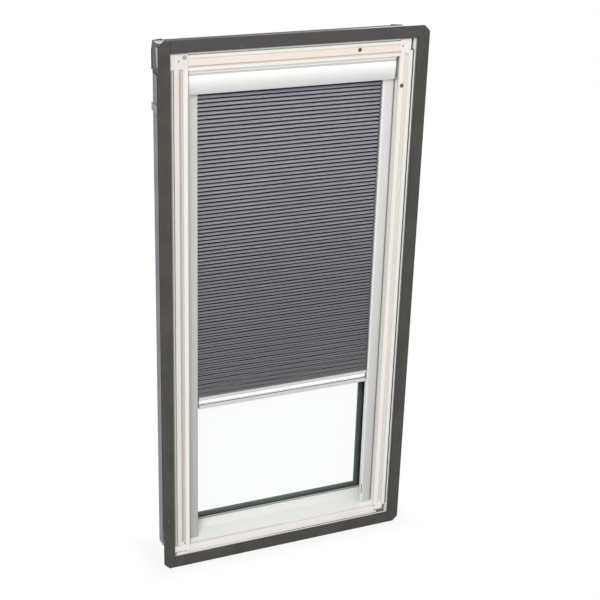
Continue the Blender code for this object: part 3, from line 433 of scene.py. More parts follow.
def channelPaint():
    at = channelLook
    look, place, (x, y, z), shades = begun("side_channel", at)
    streaks = look.noise(place, 420, 3, (1, 1, 0.02))
    height = z.between(*at["fade"])
    reach = abs(x)
    onRight = x > 0
    # painted light and shade: the left channel is painted darker than the right, and both darken towards the
    # foot
    left = look.mix(shades["leftLow"], shades["leftHigh"], height)
    right = look.mix(shades["rightLow"], shades["rightHigh"], height)
    body = look.mix(left, right, onRight)
    # a painted highlight on the right channel's lip, and painted shade along the outer edges
    body = look.mix(body, shades["lip"], (reach < at["lip"]) * onRight * at["lipShare"])
    body = look.mix(body, shades["edge"], reach.between(*at["edge"]) * at["edgeShare"])
    # painted light on the inner walls, and the key slot as a dark mark of painted shade, not cut
    body = look.mix(body, shades["inside"], (reach < at["inside"]) * y.between(*at["insideDepth"]))
    body = look.mix(body, shades["slot"], x.within(*at["slot"]) * z.within(*at["slotRun"]))
    return brushed(look, body, streaks, 0.34, 0.15)


coverLook = {
    "tones": {
        "side": (68, 71, 71), "edge": (54, 56, 56), "top": (224, 225, 226), "middle": (126, 126, 126),
        "glint": (186, 186, 187), "black": (14, 14, 15), "corner": (203, 204, 209),
        "outerLow": (113, 113, 123), "outerHigh": (126, 126, 136),
    },
    "middle": (-0.22, 0.02), "bright": (0.10, 0.22), "cornerEnd": -0.2600, "top": (1.1878, 1.1883),
    "topDepth": 0.0868, "joint": (1.1862, 1.1880), "jointDepth": 0.0760,
    "wedge": (1.1400, 1.1790), "wedgeFront": 0.0625, "wedgeBack": 0.0680, "wedgeSlope": 0.15,
    "foot": 1.1345, "footDepth": (0.0690, 0.0880), "sideTop": 1.1222,
}


def topCoverPaint():
    at = coverLook
    look, place, (x, y, z), shades = begun("top_cover", at)
    clouds = look.noise(place, 12, 3)
    body = look.mix(shades["edge"], shades["side"], clouds.between(0.3, 0.7))
    # painted sheen: its top is painted brighter towards the right and at its far left end, up to the folded
    # back edge
    paintedSheen = look.mix(shades["side"], shades["middle"], x.between(*at["middle"]))
    paintedSheen = look.mix(paintedSheen, shades["top"], x.between(*at["bright"]))
    paintedSheen = look.mix(paintedSheen, shades["corner"], x < at["cornerEnd"])
    body = look.mix(body, paintedSheen, z.between(*at["top"]) * (y < at["topDepth"]))
    body = look.mix(body, shades["black"], z.within(*at["joint"]) * (y < at["jointDepth"]))
    # a painted glint on a wedge of its side beside the seal, and its lower end is black
    wedgeBack = at["wedgeBack"] + (z - at["wedge"][0]) * at["wedgeSlope"]
    wedge = (y > at["wedgeFront"]) * (y < wedgeBack) * z.within(*at["wedge"])
    body = look.mix(body, shades["glint"], wedge)
    body = look.mix(body, shades["black"], (z < at["foot"]) * y.within(*at["footDepth"]))
    return look.wear(
        Base_Color=body, Roughness=0.42 + clouds * 0.1, Metallic=0.2, Normal=look.bump(clouds, 0.05, 0.0004),
    )


def sideCoverPaint():
    at = coverLook
    look, place, (x, y, z), shades = begun("side_cover", at)
    streaks = look.noise(place, 420, 3, (1, 1, 0.02))
    clouds = look.noise(place, 12, 3)
    body = look.mix(shades["outerLow"], shades["outerHigh"], clouds.between(0.3, 0.7))
    body = look.mix(body, shades["black"], z > at["sideTop"])
    return brushed(look, body, streaks, 0.42, 0.3)


barLook = {
    "tones": {"body": (199, 200, 199), "streak": (206, 207, 206), "line": (84, 84, 83)},
    "lowJoint": (0.3821, 0.3834), "highJoint": (0.3934, 0.3944), "highShare": 0.5,
}


def barPaint():
    at = barLook
    look, place, (x, y, z), shades = begun("bottom_bar", at)
    streaks = look.noise(place, 420, 3, (0.02, 1, 1))
    body = look.mix(shades["body"], shades["streak"], streaks.between(0.3, 0.7))
    # shade in the narrow joints above and below the white face
    joint = z.within(*at["lowJoint"]) + z.within(*at["highJoint"]) * at["highShare"]
    body = look.mix(body, shades["line"], joint)
    return brushed(look, body, streaks, 0.3, 0.15)


def twistedCord():
    look = Look("cord")
    twist = look.add(
        "ShaderNodeTexWave", {"bands_direction": "DIAGONAL"}, {"Vector": look.place(), "Scale": 260.0},
    )
    body = look.mix(tone(206, 206, 200), tone(232, 232, 228), twist)
    return look.wear(Base_Color=body, Roughness=0.7, Normal=look.bump(twist, 0.5, 0.0002))


def brass():
    look = Look("brass_screw")
    stain = look.noise(look.place(), 500, 3)
    body = look.mix(tone(126, 106, 62), tone(82, 68, 40), stain.between(0.4, 0.7))
    return look.wear(Base_Color=body, Roughness=0.35 + stain * 0.2, Metallic=0.9)


# two tones, roughness, share of metal, and how the brushing is stretched where it isn't upright
metals = {
    "mounting_flange": ((120, 120, 122), (142, 142, 144), 0.42, 0.4),
    "lower_cover": ((60, 68, 65), (70, 79, 75), 0.42, 0.2),
    "cover_strap": ((140, 140, 148), (160, 160, 168), 0.4, 0.3),
    "glass_spacer": ((70, 82, 76), (80, 92, 86), 0.45, 0.1),
    "fabric_top_strip": ((190, 190, 190), (205, 205, 205), 0.3, 0.6),
    "drive_shaft": ((176, 178, 180), (196, 198, 200), 0.25, 1.0),
    "bar_bulge": ((250, 251, 250), (253, 253, 252), 0.22, 0.0, (0.02, 1, 1)),
    "steel_pin": ((108, 104, 100), (134, 130, 126), 0.4, 0.5),
}
# two tones and roughness
plastics = {
    "glazing_gasket": ((22, 28, 24), (30, 37, 32), 0.6),
    "drive_plastic": ((48, 48, 50), (58, 58, 60), 0.45),
    "control_box": ((40, 40, 42), (50, 50, 52), 0.5),
    "channel_foot": ((178, 180, 180), (190, 192, 192), 0.5),
    "foot_pulley": ((52, 52, 54), (64, 64, 66), 0.45),
    "glider": ((182, 184, 186), (192, 194, 196), 0.5),
    "corner_plug": ((152, 148, 146), (166, 162, 160), 0.6),
}
looks = {
    "wood_frame": paintedWood(),
    "lining_strip": liningPaint(),
    "deck_seal": foamRubber(),
    "glass": clearGlass(),
    "pleated_fabric": pleatedCloth(),
    "headbox": headboxPaint(),
    "side_channel": channelPaint(),
    "top_cover": topCoverPaint(),
    "side_cover": sideCoverPaint(),
    "bottom_bar": barPaint(),
    "cord": twistedCord(),
    "brass": brass(),
}
looks.update({name: paintedMetal(name, *values) for name, values in metals.items()})
looks.update({name: mouldedPlastic(name, *values) for name, values in plastics.items()})
print("finishes made,", len(looks))

# what every modelled piece goes through


def roundEdges(piece, width, segments=2, angle=50, weld=False):
    if weld:
        piece.modifiers.new("weld", "WELD").merge_threshold = 0.00001
    soft = piece.modifiers.new("soft edges", "BEVEL")
    soft.width = width
    soft.segments = segments
    soft.limit_method = "ANGLE"
    soft.angle_limit = math.radians(angle)


def meshOf(bm, name, material):
    mesh = bpy.data.meshes.new(name)
    bm.to_mesh(mesh)
    bm.free()
    mesh.materials.append(material)
    return mesh


def placed(name, data):
    piece = bpy.data.objects.new(name, data)
    scene.collection.objects.link(piece)
    return piece


def settle(bm, name, look, body, replaced=(), smooth=32):
    bmesh.ops.recalc_face_normals(bm, faces=bm.faces)
    mesh = meshOf(bm, name, looks[look])
    mesh.shade_smooth()
    mesh.set_sharp_from_angle(angle=math.radians(smooth))
    piece = placed(name, mesh)
    if body:
        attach(piece, body)
    if replaced:
        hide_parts(*replaced)
    return piece


def arc(center, radius, start, stop, steps):
    angles = [math.radians(start + (stop - start) * step / steps) for step in range(steps + 1)]
    return [(center[0] + radius * math.cos(angle), center[1] + radius * math.sin(angle)) for angle in angles]


def sheetOutline(path, wall):
    # the closed outline of a bent sheet that lies to the right of its path
    points = [Vector(point) for point in path]
    sides = []
    for first, second in zip(points, points[1:]):
        run = (second - first).normalized()
        sides.append(Vector((run.y, -run.x)))
    inner = [points[0] + sides[0] * wall]
    for point, before, after in zip(points[1:-1], sides, sides[1:]):
        middle = (before + after).normalized()
        inner.append(point + middle * (wall / middle.dot(after)))
    inner.append(points[-1] + sides[-1] * wall)
    return [tuple(point) for point in points] + [tuple(point) for point in reversed(inner)]


def joinRings(bm, rings):
    # a closed skin over rings of points, with both ends covered
    bm.faces.new(rings[0])
    bm.faces.new(list(reversed(rings[-1])))
    for near, far in zip(rings, rings[1:]):
        for turn in range(len(near)):
            after = (turn + 1) % len(near)
            bm.faces.new((near[turn], far[turn], far[after], near[after]))
    return bm


def drawn(outline, place, low, high):
    bm = bmesh.new()
    return joinRings(bm, [[bm.verts.new(place(a, b, run)) for a, b in outline] for run in (low, high)])


def alongX(outline, low, high):
    # outline of (depth, height) points
    return drawn(outline, lambda a, b, run: (run, a, b), low, high)


def alongY(outline, low, high):
    # outline of (x, height) points
    return drawn(outline, lambda a, b, run: (a, run, b), low, high)


def alongZ(outline, low, high):
    # outline of (x, depth) points
    return drawn(outline, lambda a, b, run: (a, b, run), low, high)


# deck seal: foam strips with soft lips, butted at the corners

sealSizes = {
    "corner": 0.012, "width": 0.026, "leftWidth": 0.0242, "topWidth": 0.0244, "lip": 0.0010, "gap": 0.0003,
}


def makeSeals():
    low, high = cadBox
    left, right, bottom, top = low[0], high[0], low[2], high[2]
    corner, width, gap = sealSizes["corner"], sealSizes["width"], sealSizes["gap"]
    leftEnd = left + sealSizes["leftWidth"]
    inner = top - sealSizes["topWidth"]
    outlines = {
        "left": [
            (left, bottom + corner), (left + corner, bottom), (leftEnd, bottom),
            (leftEnd, top), (left + corner, top), (left, top - corner),
        ],
        "right": [
            (right - width, bottom), (right - corner, bottom), (right, bottom + corner),
            (right, inner - gap), (right - width, inner - gap),
        ],
        "top": [
            (leftEnd + gap, inner), (right, inner), (right, top - corner),
            (right - corner, top), (leftEnd + gap, top),
        ],
        "bottom": [
            (leftEnd + gap, bottom), (right - width - gap, bottom),
            (right - width - gap, bottom + width), (leftEnd + gap, bottom + width),
        ],
    }
    for side, outline in outlines.items():
        node = "deck_seal_" + side
        front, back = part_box(node)[0][1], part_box(node)[1][1]
        strip = alongY(outline, front, back)
        piece = settle(strip, "seal_" + side, "deck_seal", "frame", [node])
        roundEdges(piece, sealSizes["lip"], 4, 35)
    print("deck seal made")


# headbox: curved cover in two flutes, with its end caps

headboxSizes = {
    "wall": 0.0016, "nose": 0.0012, "step": 0.0007, "stripEnd": 0.0059, "faceTop": 0.0104, "recess": 0.0015,
    "faceRadius": 0.28, "faceStart": 0.0009, "shorter": 0.0018, "lift": 0.0019, "lip": 0.0272,
    "cut": 0.0004, "slope": 0.0003, "turnIn": 0.0005, "turnOut": 0.0001, "soft": 0.0002, "capSoft": 0.0004,
}


def headboxFront(front, top, bottom):
    # a narrow strip, a shallow recess and the large curved face
    sizes = headboxSizes
    nose, radius, cut, slope = sizes["nose"], sizes["faceRadius"], sizes["cut"], sizes["slope"]
    stripEnd, faceTop = top - sizes["stripEnd"], top - sizes["faceTop"]
    hollow = front + sizes["recess"]
    face = front + sizes["step"]
    start = faceTop - sizes["faceStart"]
    sweep = math.degrees(math.asin((start - bottom) / radius))
    path = arc((front + nose, top - nose), nose, 90, 180, 6)
    path += [(front, stripEnd + cut), (front + cut, stripEnd), (hollow, stripEnd - slope)]
    path += [(hollow, faceTop + slope), (face + sizes["turnIn"], faceTop)]
    path += [(face + sizes["turnOut"], faceTop - cut)]
    path += arc((face + radius, start), radius, 180, 180 + sweep, 24)
    return path


def makeHeadbox():
    sizes = headboxSizes
    low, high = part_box("headbox_cover")
    front, bottom, top = low[1], low[2], high[2] + sizes["lift"]
    curve = headboxFront(front, top, bottom)
    path = [(high[1], top)] + curve + [(sizes["lip"], bottom)]
    path.reverse()
    shell = alongX(sheetOutline(path, sizes["wall"]), low[0], high[0] - sizes["shorter"])
    piece = settle(shell, "headbox_shell", "headbox", "frame", ["headbox_cover"])
    roundEdges(piece, sizes["soft"])
    for side in ("left", "right"):
        node = "headbox_end_cap_" + side
        low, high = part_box(node)
        outline = [(high[1], top)] + curve + [(high[1], bottom)]
        shift = sizes["shorter"] if side == "right" else 0
        cap = alongX(outline, low[0] - shift, high[0] - shift)
        piece = settle(cap, "headbox_cap_" + side, "headbox", "frame", [node])
        roundEdges(piece, sizes["capSoft"])
    print("headbox made")


# side channels with a raised, rounded lip at the inner edge

channelSizes = {
    "wall": 0.0015, "lip": 0.0045, "lipStep": 0.0005, "lipRound": (0.0006, 0.0001, 0.0002), "corner": 0.002,
    "returnBack": 0.037, "backLeg": 0.0157, "soft": 0.00025,
}


def makeChannels():
    sizes = channelSizes
    corner = sizes["corner"]
    flat, edge, drop = sizes["lipRound"]
    for side, sign in (("left", -1), ("right", 1)):
        node = "side_channel_" + side
        low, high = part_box(node)
        inner, outer = sorted((sign * low[0], sign * high[0]))
        front, back = low[1], high[1]
        face = front + sizes["lipStep"]
        lipEnd = inner + sizes["lip"]
        path = [(inner, sizes["returnBack"])]
        path += arc((inner + corner, front + corner), corner, 180, 270, 8)
        path += [(lipEnd - flat, front), (lipEnd - edge, front + drop), (lipEnd, face)]
        path += arc((outer - corner, face + corner), corner, 270, 360, 8)
        path += [(outer, back), (outer - sizes["backLeg"], back)]
        path.reverse()
        outline = [(sign * x, depth) for x, depth in sheetOutline(path, sizes["wall"])]
        profile = alongZ(outline, low[2], high[2])
        piece = settle(profile, "channel_" + side, "side_channel", "frame", [node])
        roundEdges(piece, sizes["soft"])
    print("side channels made")


# pleated fabric, in bands of folds

pleatSizes = {
    "pleats": 93, "crowding": 0.162, "power": 3.3, "foldDepth": 0.012, "sheet": 0.0004, "columns": 40,
    "rows": (0, 0.06, 0.5, 0.94), "belly": 0.0004, "loose": 0.00012, "looser": 0.00045, "sway": 0.00035,
    "weights": (0, 0.04, 0.07, 0.12, 0.2, 0.32, 0.5, 0.68, 0.8, 0.88, 0.93, 0.96, 1), "endPace": 0.56,
    "blendDepth": 0.03,
}


def pleatShare(share):
    crowding = pleatSizes["crowding"]
    return (1 + crowding) * share - crowding * share ** pleatSizes["power"]


def pleatPoint(fold, across, low, high):
    # where a fold line passes: even folds lie back, odd folds in front; near the bar they wander a little
    folds = 2 * pleatSizes["pleats"]
    share = pleatShare(fold / folds)
    height = high[2] - (high[2] - low[2]) * share
    depth = low[1] + (0 if fold % 2 else pleatSizes["foldDepth"])
    loose = pleatSizes["loose"] + pleatSizes["looser"] * share ** 3
    held = min(1, fold / 4, (folds - fold) / 4)
    # waves of unlike lengths, so that no two folds match
    wander = math.sin(across * 17 + fold * 1.7) + 0.6 * math.sin(across * 41 - fold * 0.9)
    swing = math.sin(across * 29 + fold * 2.3)
    return depth + pleatSizes["sway"] * swing * held, height + loose * wander * held


def foldAt(share):
    folds = 2 * pleatSizes["pleats"]
    return min(range(0, folds + 1, 2), key=lambda fold: abs(pleatShare(fold / folds) - share))


def pleatRows(bm, first, last, low, high):
    # a row of points at each fold, and between two folds along a slightly full curve
    columns = pleatSizes["columns"]
    rows = []
    for fold in range(first, last + 1):
        for share in pleatSizes["rows"] if fold < last else (0,):
            row = []
            for column in range(columns + 1):
                across = low[0] + (high[0] - low[0]) * column / columns
                here = pleatPoint(fold, across, low, high)
                after = pleatPoint(fold + 1, across, low, high) if fold < last else here
                belly = pleatSizes["belly"] * math.sin(math.pi * share)
                depth = here[0] + (after[0] - here[0]) * share + belly
                height = here[1] + (after[1] - here[1]) * share
                row.append(bm.verts.new((across, depth, height)))
            rows.append(row)
    return rows


def makeFabric():
    low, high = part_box("pleated_fabric")
    weights = pleatSizes["weights"]
    ends = weights[1] / pleatSizes["endPace"]  # the first and last bands take a larger share of the folds than of the weights
    pace = (1 - 2 * ends) / (weights[-2] - weights[1])
    shares = [0] + [ends + (weight - weights[1]) * pace for weight in weights[1:-1]] + [1]
    starts = [foldAt(share) for share in shares]
    for band, (first, last) in enumerate(zip(starts, starts[1:])):
        bm = bmesh.new()
        rows = pleatRows(bm, first, last, low, high)
        for upper, lower in zip(rows, rows[1:]):
            for column in range(pleatSizes["columns"]):
                bm.faces.new((upper[column], lower[column], lower[column + 1], upper[column + 1]))
        bmesh.ops.solidify(bm, geom=bm.faces, thickness=pleatSizes["sheet"])
        name = f"pleat_band_{band + 1}"
        piece = settle(bm, name, "pleated_fabric", None, ["pleated_fabric"], 60)
        blendBand(piece, high[2], high[2] - low[2], first, last, weights[band], weights[band + 1])
        edge = [pleatPoint(fold, 0, low, high) for fold in range(first, last + 1)]
    print("fabric made,", len(starts) - 1, "bands")


def blendBand(piece, top, drop, first, last, low, high):
    # works out the start and end at which the band's two edges would get the weights low and high; nothing
    # here applies them, and the transform is baked
    folds = 2 * pleatSizes["pleats"]
    startAt = 0.5 - math.sin(math.asin(1 - 2 * low) / 3)
    stopAt = 0.5 - math.sin(math.asin(1 - 2 * high) / 3)
    upper = top - drop * pleatShare(first / folds)
    lower = top - drop * pleatShare(last / folds)
    run = (lower - upper) / (stopAt - startAt)
    start = upper - startAt * run
    start + run
    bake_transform(piece)


# cords: straight strands with a ring at each end, and back runs round a turn

cordSizes = {"radius": 0.0005, "sides": 10, "turnSteps": 20}


def tube(points):
    # a cord along points that lie in one plane of constant x
    radius, sides = cordSizes["radius"], cordSizes["sides"]
    bm = bmesh.new()
    rings = []
    for step, point in enumerate(points):
        before = Vector(points[max(step - 1, 0)])
        after = Vector(points[min(step + 1, len(points) - 1)])
        run = (after - before).normalized()
        side = Vector((1, 0, 0))
        other = run.cross(side)
        ring = []
        for turn in range(sides):
            angle = 2 * math.pi * turn / sides
            around = math.cos(angle) * side + math.sin(angle) * other
            ring.append(bm.verts.new(Vector(point) + radius * around))
        rings.append(ring)
    return joinRings(bm, rings)


def makeCords():
    for side in ("left", "right"):
        for kind in ("lift_cord_", "return_cord_"):
            node = kind + side
            low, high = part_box(node)
            x, depth = (low[0] + high[0]) / 2, (low[1] + high[1]) / 2
            top, bottom = (x, depth, high[2]), (x, depth, low[2])
            piece = settle(tube([top, bottom]), kind + "strand_" + side, "cord", None, [node])
            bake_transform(piece)
        node = "cord_back_run_" + side
        low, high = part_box(node)
        radius = cordSizes["radius"]
        x, middle = (low[0] + high[0]) / 2, (low[1] + high[1]) / 2
        turn = (high[1] - low[1]) / 2 - radius
        center = (middle, low[2] + radius + turn)
        route = [(x, depth, height) for depth, height in arc(center, turn, 180, 360, cordSizes["turnSteps"])]
        route += [(x, middle + turn, high[2])]
        settle(tube(route), "back_run_" + side, "cord", "frame", [node])
    print("cords made")


# bottom bar: grey bead, white rounded face, and a grip below

barSizes = {
    "front": 0.0275, "wall": 0.0018, "reach": 0.0054, "bead": 0.0069, "beadRound": 0.0014,
    "beadFoot": 0.0010, "beadStep": 0.0022, "clear": 0.0002, "seam": 0.0008, "bulgeHeight": 0.0081,
    "bulge": 0.0036, "plug": 0.0010, "tuck": 0.0011, "inset": 0.001, "shellGap": 0.0003,
}


def makeBar():
    sizes = barSizes
    low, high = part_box("bottom_bar")
    top, bottom, back, front = high[2], low[2], high[1], sizes["front"]
    left, wall, clear = low[0] - sizes["reach"], sizes["wall"], sizes["clear"]
    crown, foot = sizes["beadRound"], sizes["beadFoot"]
    beadEnd = top - sizes["bead"]
    bead = arc((front + crown, top - crown), crown, 90, 180, 5)
    bead += arc((front + foot, beadEnd + foot), foot, 180, 270, 4)
    bead += [(front + sizes["beadStep"], beadEnd + clear), (front + wall, beadEnd + sizes["seam"])]
    bead += [(front + wall, top - wall), (back - wall, top - wall), (back - wall, beadEnd + clear)]
    bead += [(back, beadEnd + clear), (back, top)]
    bm = alongX(bead, left, high[0] + sizes["reach"])
    settle(bm, "bar_bead", "bottom_bar", "bottom_bar", ["bottom_bar"])
    half, tuck = sizes["bulgeHeight"] / 2, front + sizes["tuck"]
    radius = (half ** 2 + sizes["bulge"] ** 2) / (2 * sizes["bulge"])
    sweep = math.degrees(math.asin(half / radius))
    face = arc((tuck - sizes["bulge"] + radius, beadEnd - half), radius, 180 - sweep, 180 + sweep, 16)
    inset = front + wall + sizes["inset"]
    shell = face + [(tuck, bottom), (back, bottom), (back, beadEnd)]
    shell += [(back - wall, beadEnd), (back - wall, bottom + wall)]
    shell += [(inset, bottom + wall), (inset, beadEnd - sizes["shellGap"])]
    bm = alongX(shell, left, high[0] + sizes["plug"])
    settle(bm, "bar_face", "bar_bulge", "bottom_bar", ["bottom_bar"])
    print("bottom bar made")


gripSizes = {"wall": 0.0014, "reach": 0.0048, "corner": 0.0018, "soft": 0.0003}


def makeGrip():
    low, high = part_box("bottom_bar_grip")
    top, bottom, front, back = high[2], low[2], low[1], high[1]
    corner, reach = gripSizes["corner"], gripSizes["reach"]
    path = [(back, top)] + arc((back - corner, bottom + corner), corner, 0, -90, 5)
    path += arc((front + corner, bottom + corner), corner, -90, -180, 5) + [(front, top)]
    bm = alongX(sheetOutline(path, gripSizes["wall"]), low[0] - reach, high[0] + reach)
    grip = settle(bm, "bar_grip", "bottom_bar", "bottom_bar", ["bottom_bar_grip"])
    roundEdges(grip, gripSizes["soft"])
    print("grip made")


# small screws in the frame's face: radius, rise, finish, and where each one sits

screwSizes = {"face": 0.0068, "sink": 0.0002, "sides": 24, "slotDepth": 0.55, "slotReach": 1.5}
screws = {
    "brass_screw": (0.0046, 0.0012, "brass", [(0.1393, 1.1619), (0.2415, 1.0790)]),
    "steel_pin": (0.0019, 0.0005, "steel_pin", [
        (-0.2541, 1.1636), (0.2396, 1.1638), (0.2352, 0.0371), (-0.2480, 0.0432),
    ]),
    "corner_plug": (0.0054, 0.0003, "corner_plug", [(-0.2423, 1.1706)]),
}


def screwHead(x, height, radius, depth, rise):
    # a domed head with a cross recess, its middle axis along Y
    sides = screwSizes["sides"]
    bm = bmesh.new()
    rings = []
    for share, lift in ((1, 0), (0.96, 0.45), (0.8, 0.8), (0.5, 1.0), (0.3, 0.8)):
        ring = []
        for turn in range(sides):
            angle = 2 * math.pi * turn / sides
            inSlot = share < 0.4 and turn % 6 in (0, 1, 5)
            reach = radius * share * (screwSizes["slotReach"] if inSlot else 1)
            raised = rise * lift * (screwSizes["slotDepth"] if inSlot else 1)
            place = (x + reach * math.cos(angle), depth - raised, height + reach * math.sin(angle))
            ring.append(bm.verts.new(place))
        rings.append(ring)
    return joinRings(bm, rings)


def makeScrews():
    depth = screwSizes["face"] + screwSizes["sink"]
    for kind, (radius, rise, look, places) in screws.items():
        for count, (x, height) in enumerate(places):
            head = screwHead(x, height, radius, depth, rise)
            settle(head, f"{kind}_{count + 1}", look, "frame")
    print("screws made")


# glazing bead: a thin white lip at the foot of the glass, with a fine groove along it

beadSizes = {
    "front": 0.0862, "back": 0.0880, "rise": 0.0056, "grooveLow": 0.0012, "grooveHigh": 0.0026,
    "groove": 0.0008, "round": 0.0008, "sink": 0.0002, "shorter": 0.0003, "soft": 0.0001,
}


def makeGlazingBead():
    sizes = beadSizes
    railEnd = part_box("frame_rail_bottom")[1]
    reach, sill = railEnd[0] - sizes["shorter"], railEnd[2]
    front, back, foot, high = sizes["front"], sizes["back"], sill - sizes["sink"], sill + sizes["rise"]
    cut, lower, upper = front + sizes["groove"], sill + sizes["grooveLow"], sill + sizes["grooveHigh"]
    bead = [(back, foot), (front, foot), (front, lower), (cut, lower), (cut, upper), (front, upper)]
    bead += [(front, high - sizes["round"]), (front + sizes["round"], high), (back, high)]
    piece = settle(alongX(bead, -reach, reach), "glazing_bead", "wood_frame", "frame")
    roundEdges(piece, sizes["soft"], 1)
    print("glazing bead made")


# black foam in the joints between the top cover's wrap and the side covers

jointSizes = {
    "front": 0.0700, "back": 0.1000, "outer": 0.2798, "inner": 0.2500, "below": 0.0004, "above": 0.0002,
}


def makeCoverJoints():
    sizes = jointSizes
    for side, sign in (("left", -1), ("right", 1)):
        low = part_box("side_cover_" + side)[1][2] - sizes["below"]
        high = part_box("top_cover")[0][2] + sizes["above"]
        edge = [(sizes["front"], low), (sizes["back"], low), (sizes["back"], high), (sizes["front"], high)]
        bm = alongX(edge, *sorted((sign * sizes["outer"], sign * sizes["inner"])))
        settle(bm, "cover_joint_" + side, "glazing_gasket", "frame")
    print("cover joints made")


# lower cover with its drip edge, cut off at the corners

coverSizes = {
    "sheet": 0.0010, "drip": 0.0280, "lip": 0.0533, "mitre": 0.2850, "slope": 0.0345, "shorter": 0.0068,
    "soft": 0.0003,
}


def makeLowerCover():
    sizes = coverSizes
    low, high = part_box("bottom_cover")
    front, back = low[1], high[1]
    path = [(front, low[2]), (front + sizes["drip"], low[2])]
    path += [(back, low[2] + sizes["slope"]), (back, sizes["lip"])]
    outline = sheetOutline([(depth, -height) for depth, height in path], sizes["sheet"])
    outline = [(depth, -height) for depth, height in outline]

    def cut(a, b, side):
        return (side * min(high[0] - sizes["shorter"], sizes["mitre"] - b), a, b)
    bm = drawn(outline, cut, -1, 1)
    piece = settle(bm, "lower_cover", "lower_cover", "frame", ["bottom_cover"])
    roundEdges(piece, sizes["soft"])
    print("lower cover made")


# soft ring with a small bulb, between the covers and the outer pane

ringSizes = {
    "width": 0.0137, "lowWidth": 0.0080, "bulb": 0.0006, "edge": 0.0004, "bulbEdge": (0.0003, 0.0001),
    "neck": 0.0006,
}


def makeOuterGasket():
    low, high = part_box("weather_gasket")
    width, edge = ringSizes["width"], ringSizes["edge"]
    front, back, bulb = low[1], high[1], high[1] + ringSizes["bulb"]
    across, behind = ringSizes["bulbEdge"]
    parts = {
        "left": (low[0], low[0] + width), "right": (high[0], high[0] - width),
        "lower": (low[2], low[2] + ringSizes["lowWidth"]), "upper": (high[2], high[2] - width),
    }
    for side, (outer, inner) in parts.items():
        turn = 1 if inner > outer else -1
        profile = [(outer, front), (inner - turn * edge, front), (inner, front + edge)]
        profile += [(inner, bulb - edge), (inner - turn * across, bulb - behind)]
        profile += [(inner - turn * ringSizes["neck"], back), (outer, back)]
        if side in ("left", "right"):
            bm = alongZ(profile, low[2], high[2])
        else:
            bm = alongX([(depth, height) for height, depth in profile], low[0] + width, high[0] - width)
        settle(bm, "outer_gasket_" + side, "glazing_gasket", "frame", ["weather_gasket"])
    print("outer gasket made")


# the CAD pieces that stay get their finish and soft edges of this width, in so many steps

keptPieces = {
    "frame_rail": ("wood_frame", 0.0009, 3),
    "mounting_flange": ("mounting_flange", 0.0003, 2),
    "lining_strip": ("lining_strip", 0.0005, 2),
    "side_cover": ("side_cover", 0.0004, 2),
    "top_cover": ("top_cover", 0.0004, 2),
    "cover_strap": ("cover_strap", 0.0005, 2),
    "inner_pane": ("glass", 0.0003, 1),
    "outer_pane": ("glass", 0.0003, 1),
    "glass_spacer": ("glass_spacer", 0.0006, 2),
    "glazing_gasket": ("glazing_gasket", 0.0004, 2),
    "headbox_rail": ("headbox", 0.0003, 2),
    "fabric_top_strip": ("fabric_top_strip", 0.0003, 2),
    "drive_shaft": ("drive_shaft", 0.0003, 2),
    "cord_spool": ("drive_plastic", 0.0002, 2),
    "shaft_bracket": ("drive_plastic", 0.0004, 2),
    "tubular_motor": ("drive_plastic", 0.0006, 2),
    "control_box": ("control_box", 0.0012, 3),
    "channel_foot": ("channel_foot", 0.0005, 2),
    "foot_pulley": ("foot_pulley", 0.0002, 2),
    "glider": ("glider", 0.0005, 2),
}


def dressKeptPieces():
    for name, node in nodes.items():
        for start, (look, width, segments) in keptPieces.items():
            if name.startswith(start):
                for slot in node.material_slots:
                    slot.material = looks[look]
                roundEdges(node, width, segments, 40, weld=True)
    print("kept pieces dressed")


makeSeals()
makeHeadbox()
makeChannels()
makeFabric()
makeCords()
makeBar()
makeGrip()
makeScrews()
makeGlazingBead()
makeCoverJoints()
makeLowerCover()
makeOuterGasket()
dressKeptPieces()

# camera, floor and light

cameraSetup = {
    "place": (-1.0660, -2.4576, 1.7879), "right": (0.91958, -0.39187, 0.0294),
    "forward": (0.37020, 0.83865, -0.39950), "lens": 80.11, "sensor": 36, "farthest": 100,
}


def makeCamera():
    data = bpy.data.cameras.new("camera")
    data.lens = cameraSetup["lens"]
    data.sensor_width = cameraSetup["sensor"]
    data.clip_end = cameraSetup["farthest"]
    camera = placed("camera", data)
    forward = Vector(cameraSetup["forward"]).normalized()
    right = Vector(cameraSetup["right"]).normalized()
    up = right.cross(forward).normalized()
    turn = Matrix((right, up, -forward)).transposed().to_4x4()
    camera.matrix_world = Matrix.Translation(cameraSetup["place"]) @ turn
    scene.camera = camera


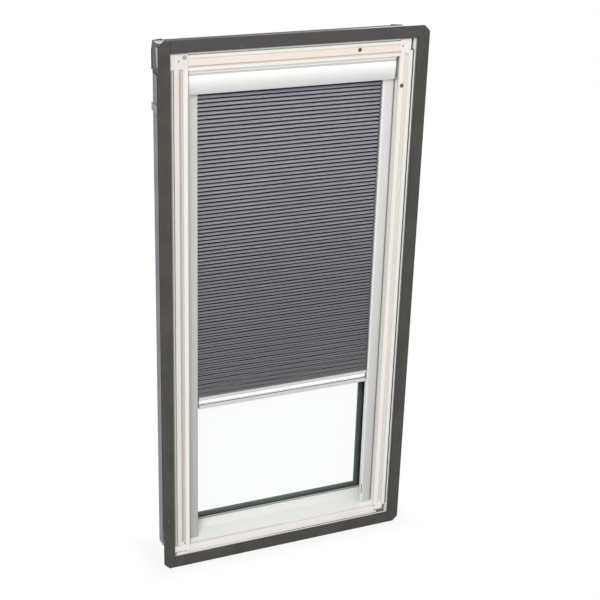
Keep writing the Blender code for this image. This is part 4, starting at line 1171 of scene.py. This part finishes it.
studio = {
    "sky": (0.20, 0.62), "skyRise": (-0.2, 0.9), "floorRadius": 40.0, "floorDrop": 0.0006, "paper": 0.86,
    "clearLeast": 0.84, "clearTo": 0.06, "aim": (0, 0, 0.6),
    "lamps": {"key": ((-2.4, -4.2, 4.1), 2.4, 218.0), "fill": ((2.4, -2.6, 1.0), 1.6, 7.0)},
}


def seenDirectly(look):
    # 1 for the camera, for reflections and through glass
    names = ("Is Camera Ray", "Is Glossy Ray", "Is Transmission Ray")
    camera, glossy, through = look.split("ShaderNodeLightPath", names)
    return look.larger(look.larger(camera, glossy), through)


def makeFloor():
    look = Look("pale_floor")
    x, y, z = look.axes(look.place())
    # the floor clears to white a little way off the part, and keeps a faint shadow beneath it
    depth = cadBox[1][1] / 2
    away = look.larger(abs(x) - cadBox[1][0], abs(y - depth) - depth)
    least = studio["clearLeast"]
    clear = (least + away.between(0.0, studio["clearTo"]) * (1 - least)) * seenDirectly(look)
    paper = look.add("ShaderNodeBsdfDiffuse", {}, {"Color": (studio["paper"],) * 3})
    white = look.add("ShaderNodeEmission", {}, {"Color": (1, 1, 1), "Strength": 1.0})
    mixed = look.add("ShaderNodeMixShader", {}, {0: clear, 1: paper, 2: white})
    look.feed(look.nodes["Material Output"].inputs["Surface"], mixed)
    bm = bmesh.new()
    bmesh.ops.create_circle(bm, cap_ends=True, segments=64, radius=studio["floorRadius"])
    floor = placed("floor", meshOf(bm, "floor", look.material))
    floor.location = (0, 0, cadBox[0][2] - studio["floorDrop"])


def makeSky():
    world = bpy.data.worlds.new("studio")
    scene.world = world
    look = Look("studio", world)
    x, y, z = look.axes(look.add("ShaderNodeTexCoord", {}, {}, "Generated"))
    low, high = studio["sky"]
    level = low + z.between(*studio["skyRise"]) * (high - low)
    background = look.nodes["Background"]
    look.feed(background.inputs["Color"], (1, 1, 1))
    look.feed(background.inputs["Strength"], level + (1 - level) * seenDirectly(look))


def addLamp(name, place, size, power):
    data = bpy.data.lights.new(name, "AREA")
    data.shape = "DISK"
    data.size = size
    data.energy = power
    lamp = placed(name, data)
    lamp.location = place
    lamp.rotation_euler = (Vector(studio["aim"]) - Vector(place)).to_track_quat("-Z", "Y").to_euler()


makeCamera()
makeFloor()
makeSky()
for name, values in studio["lamps"].items():
    addLamp(name, *values)
scene.view_settings.view_transform = "Standard"
print("studio made")
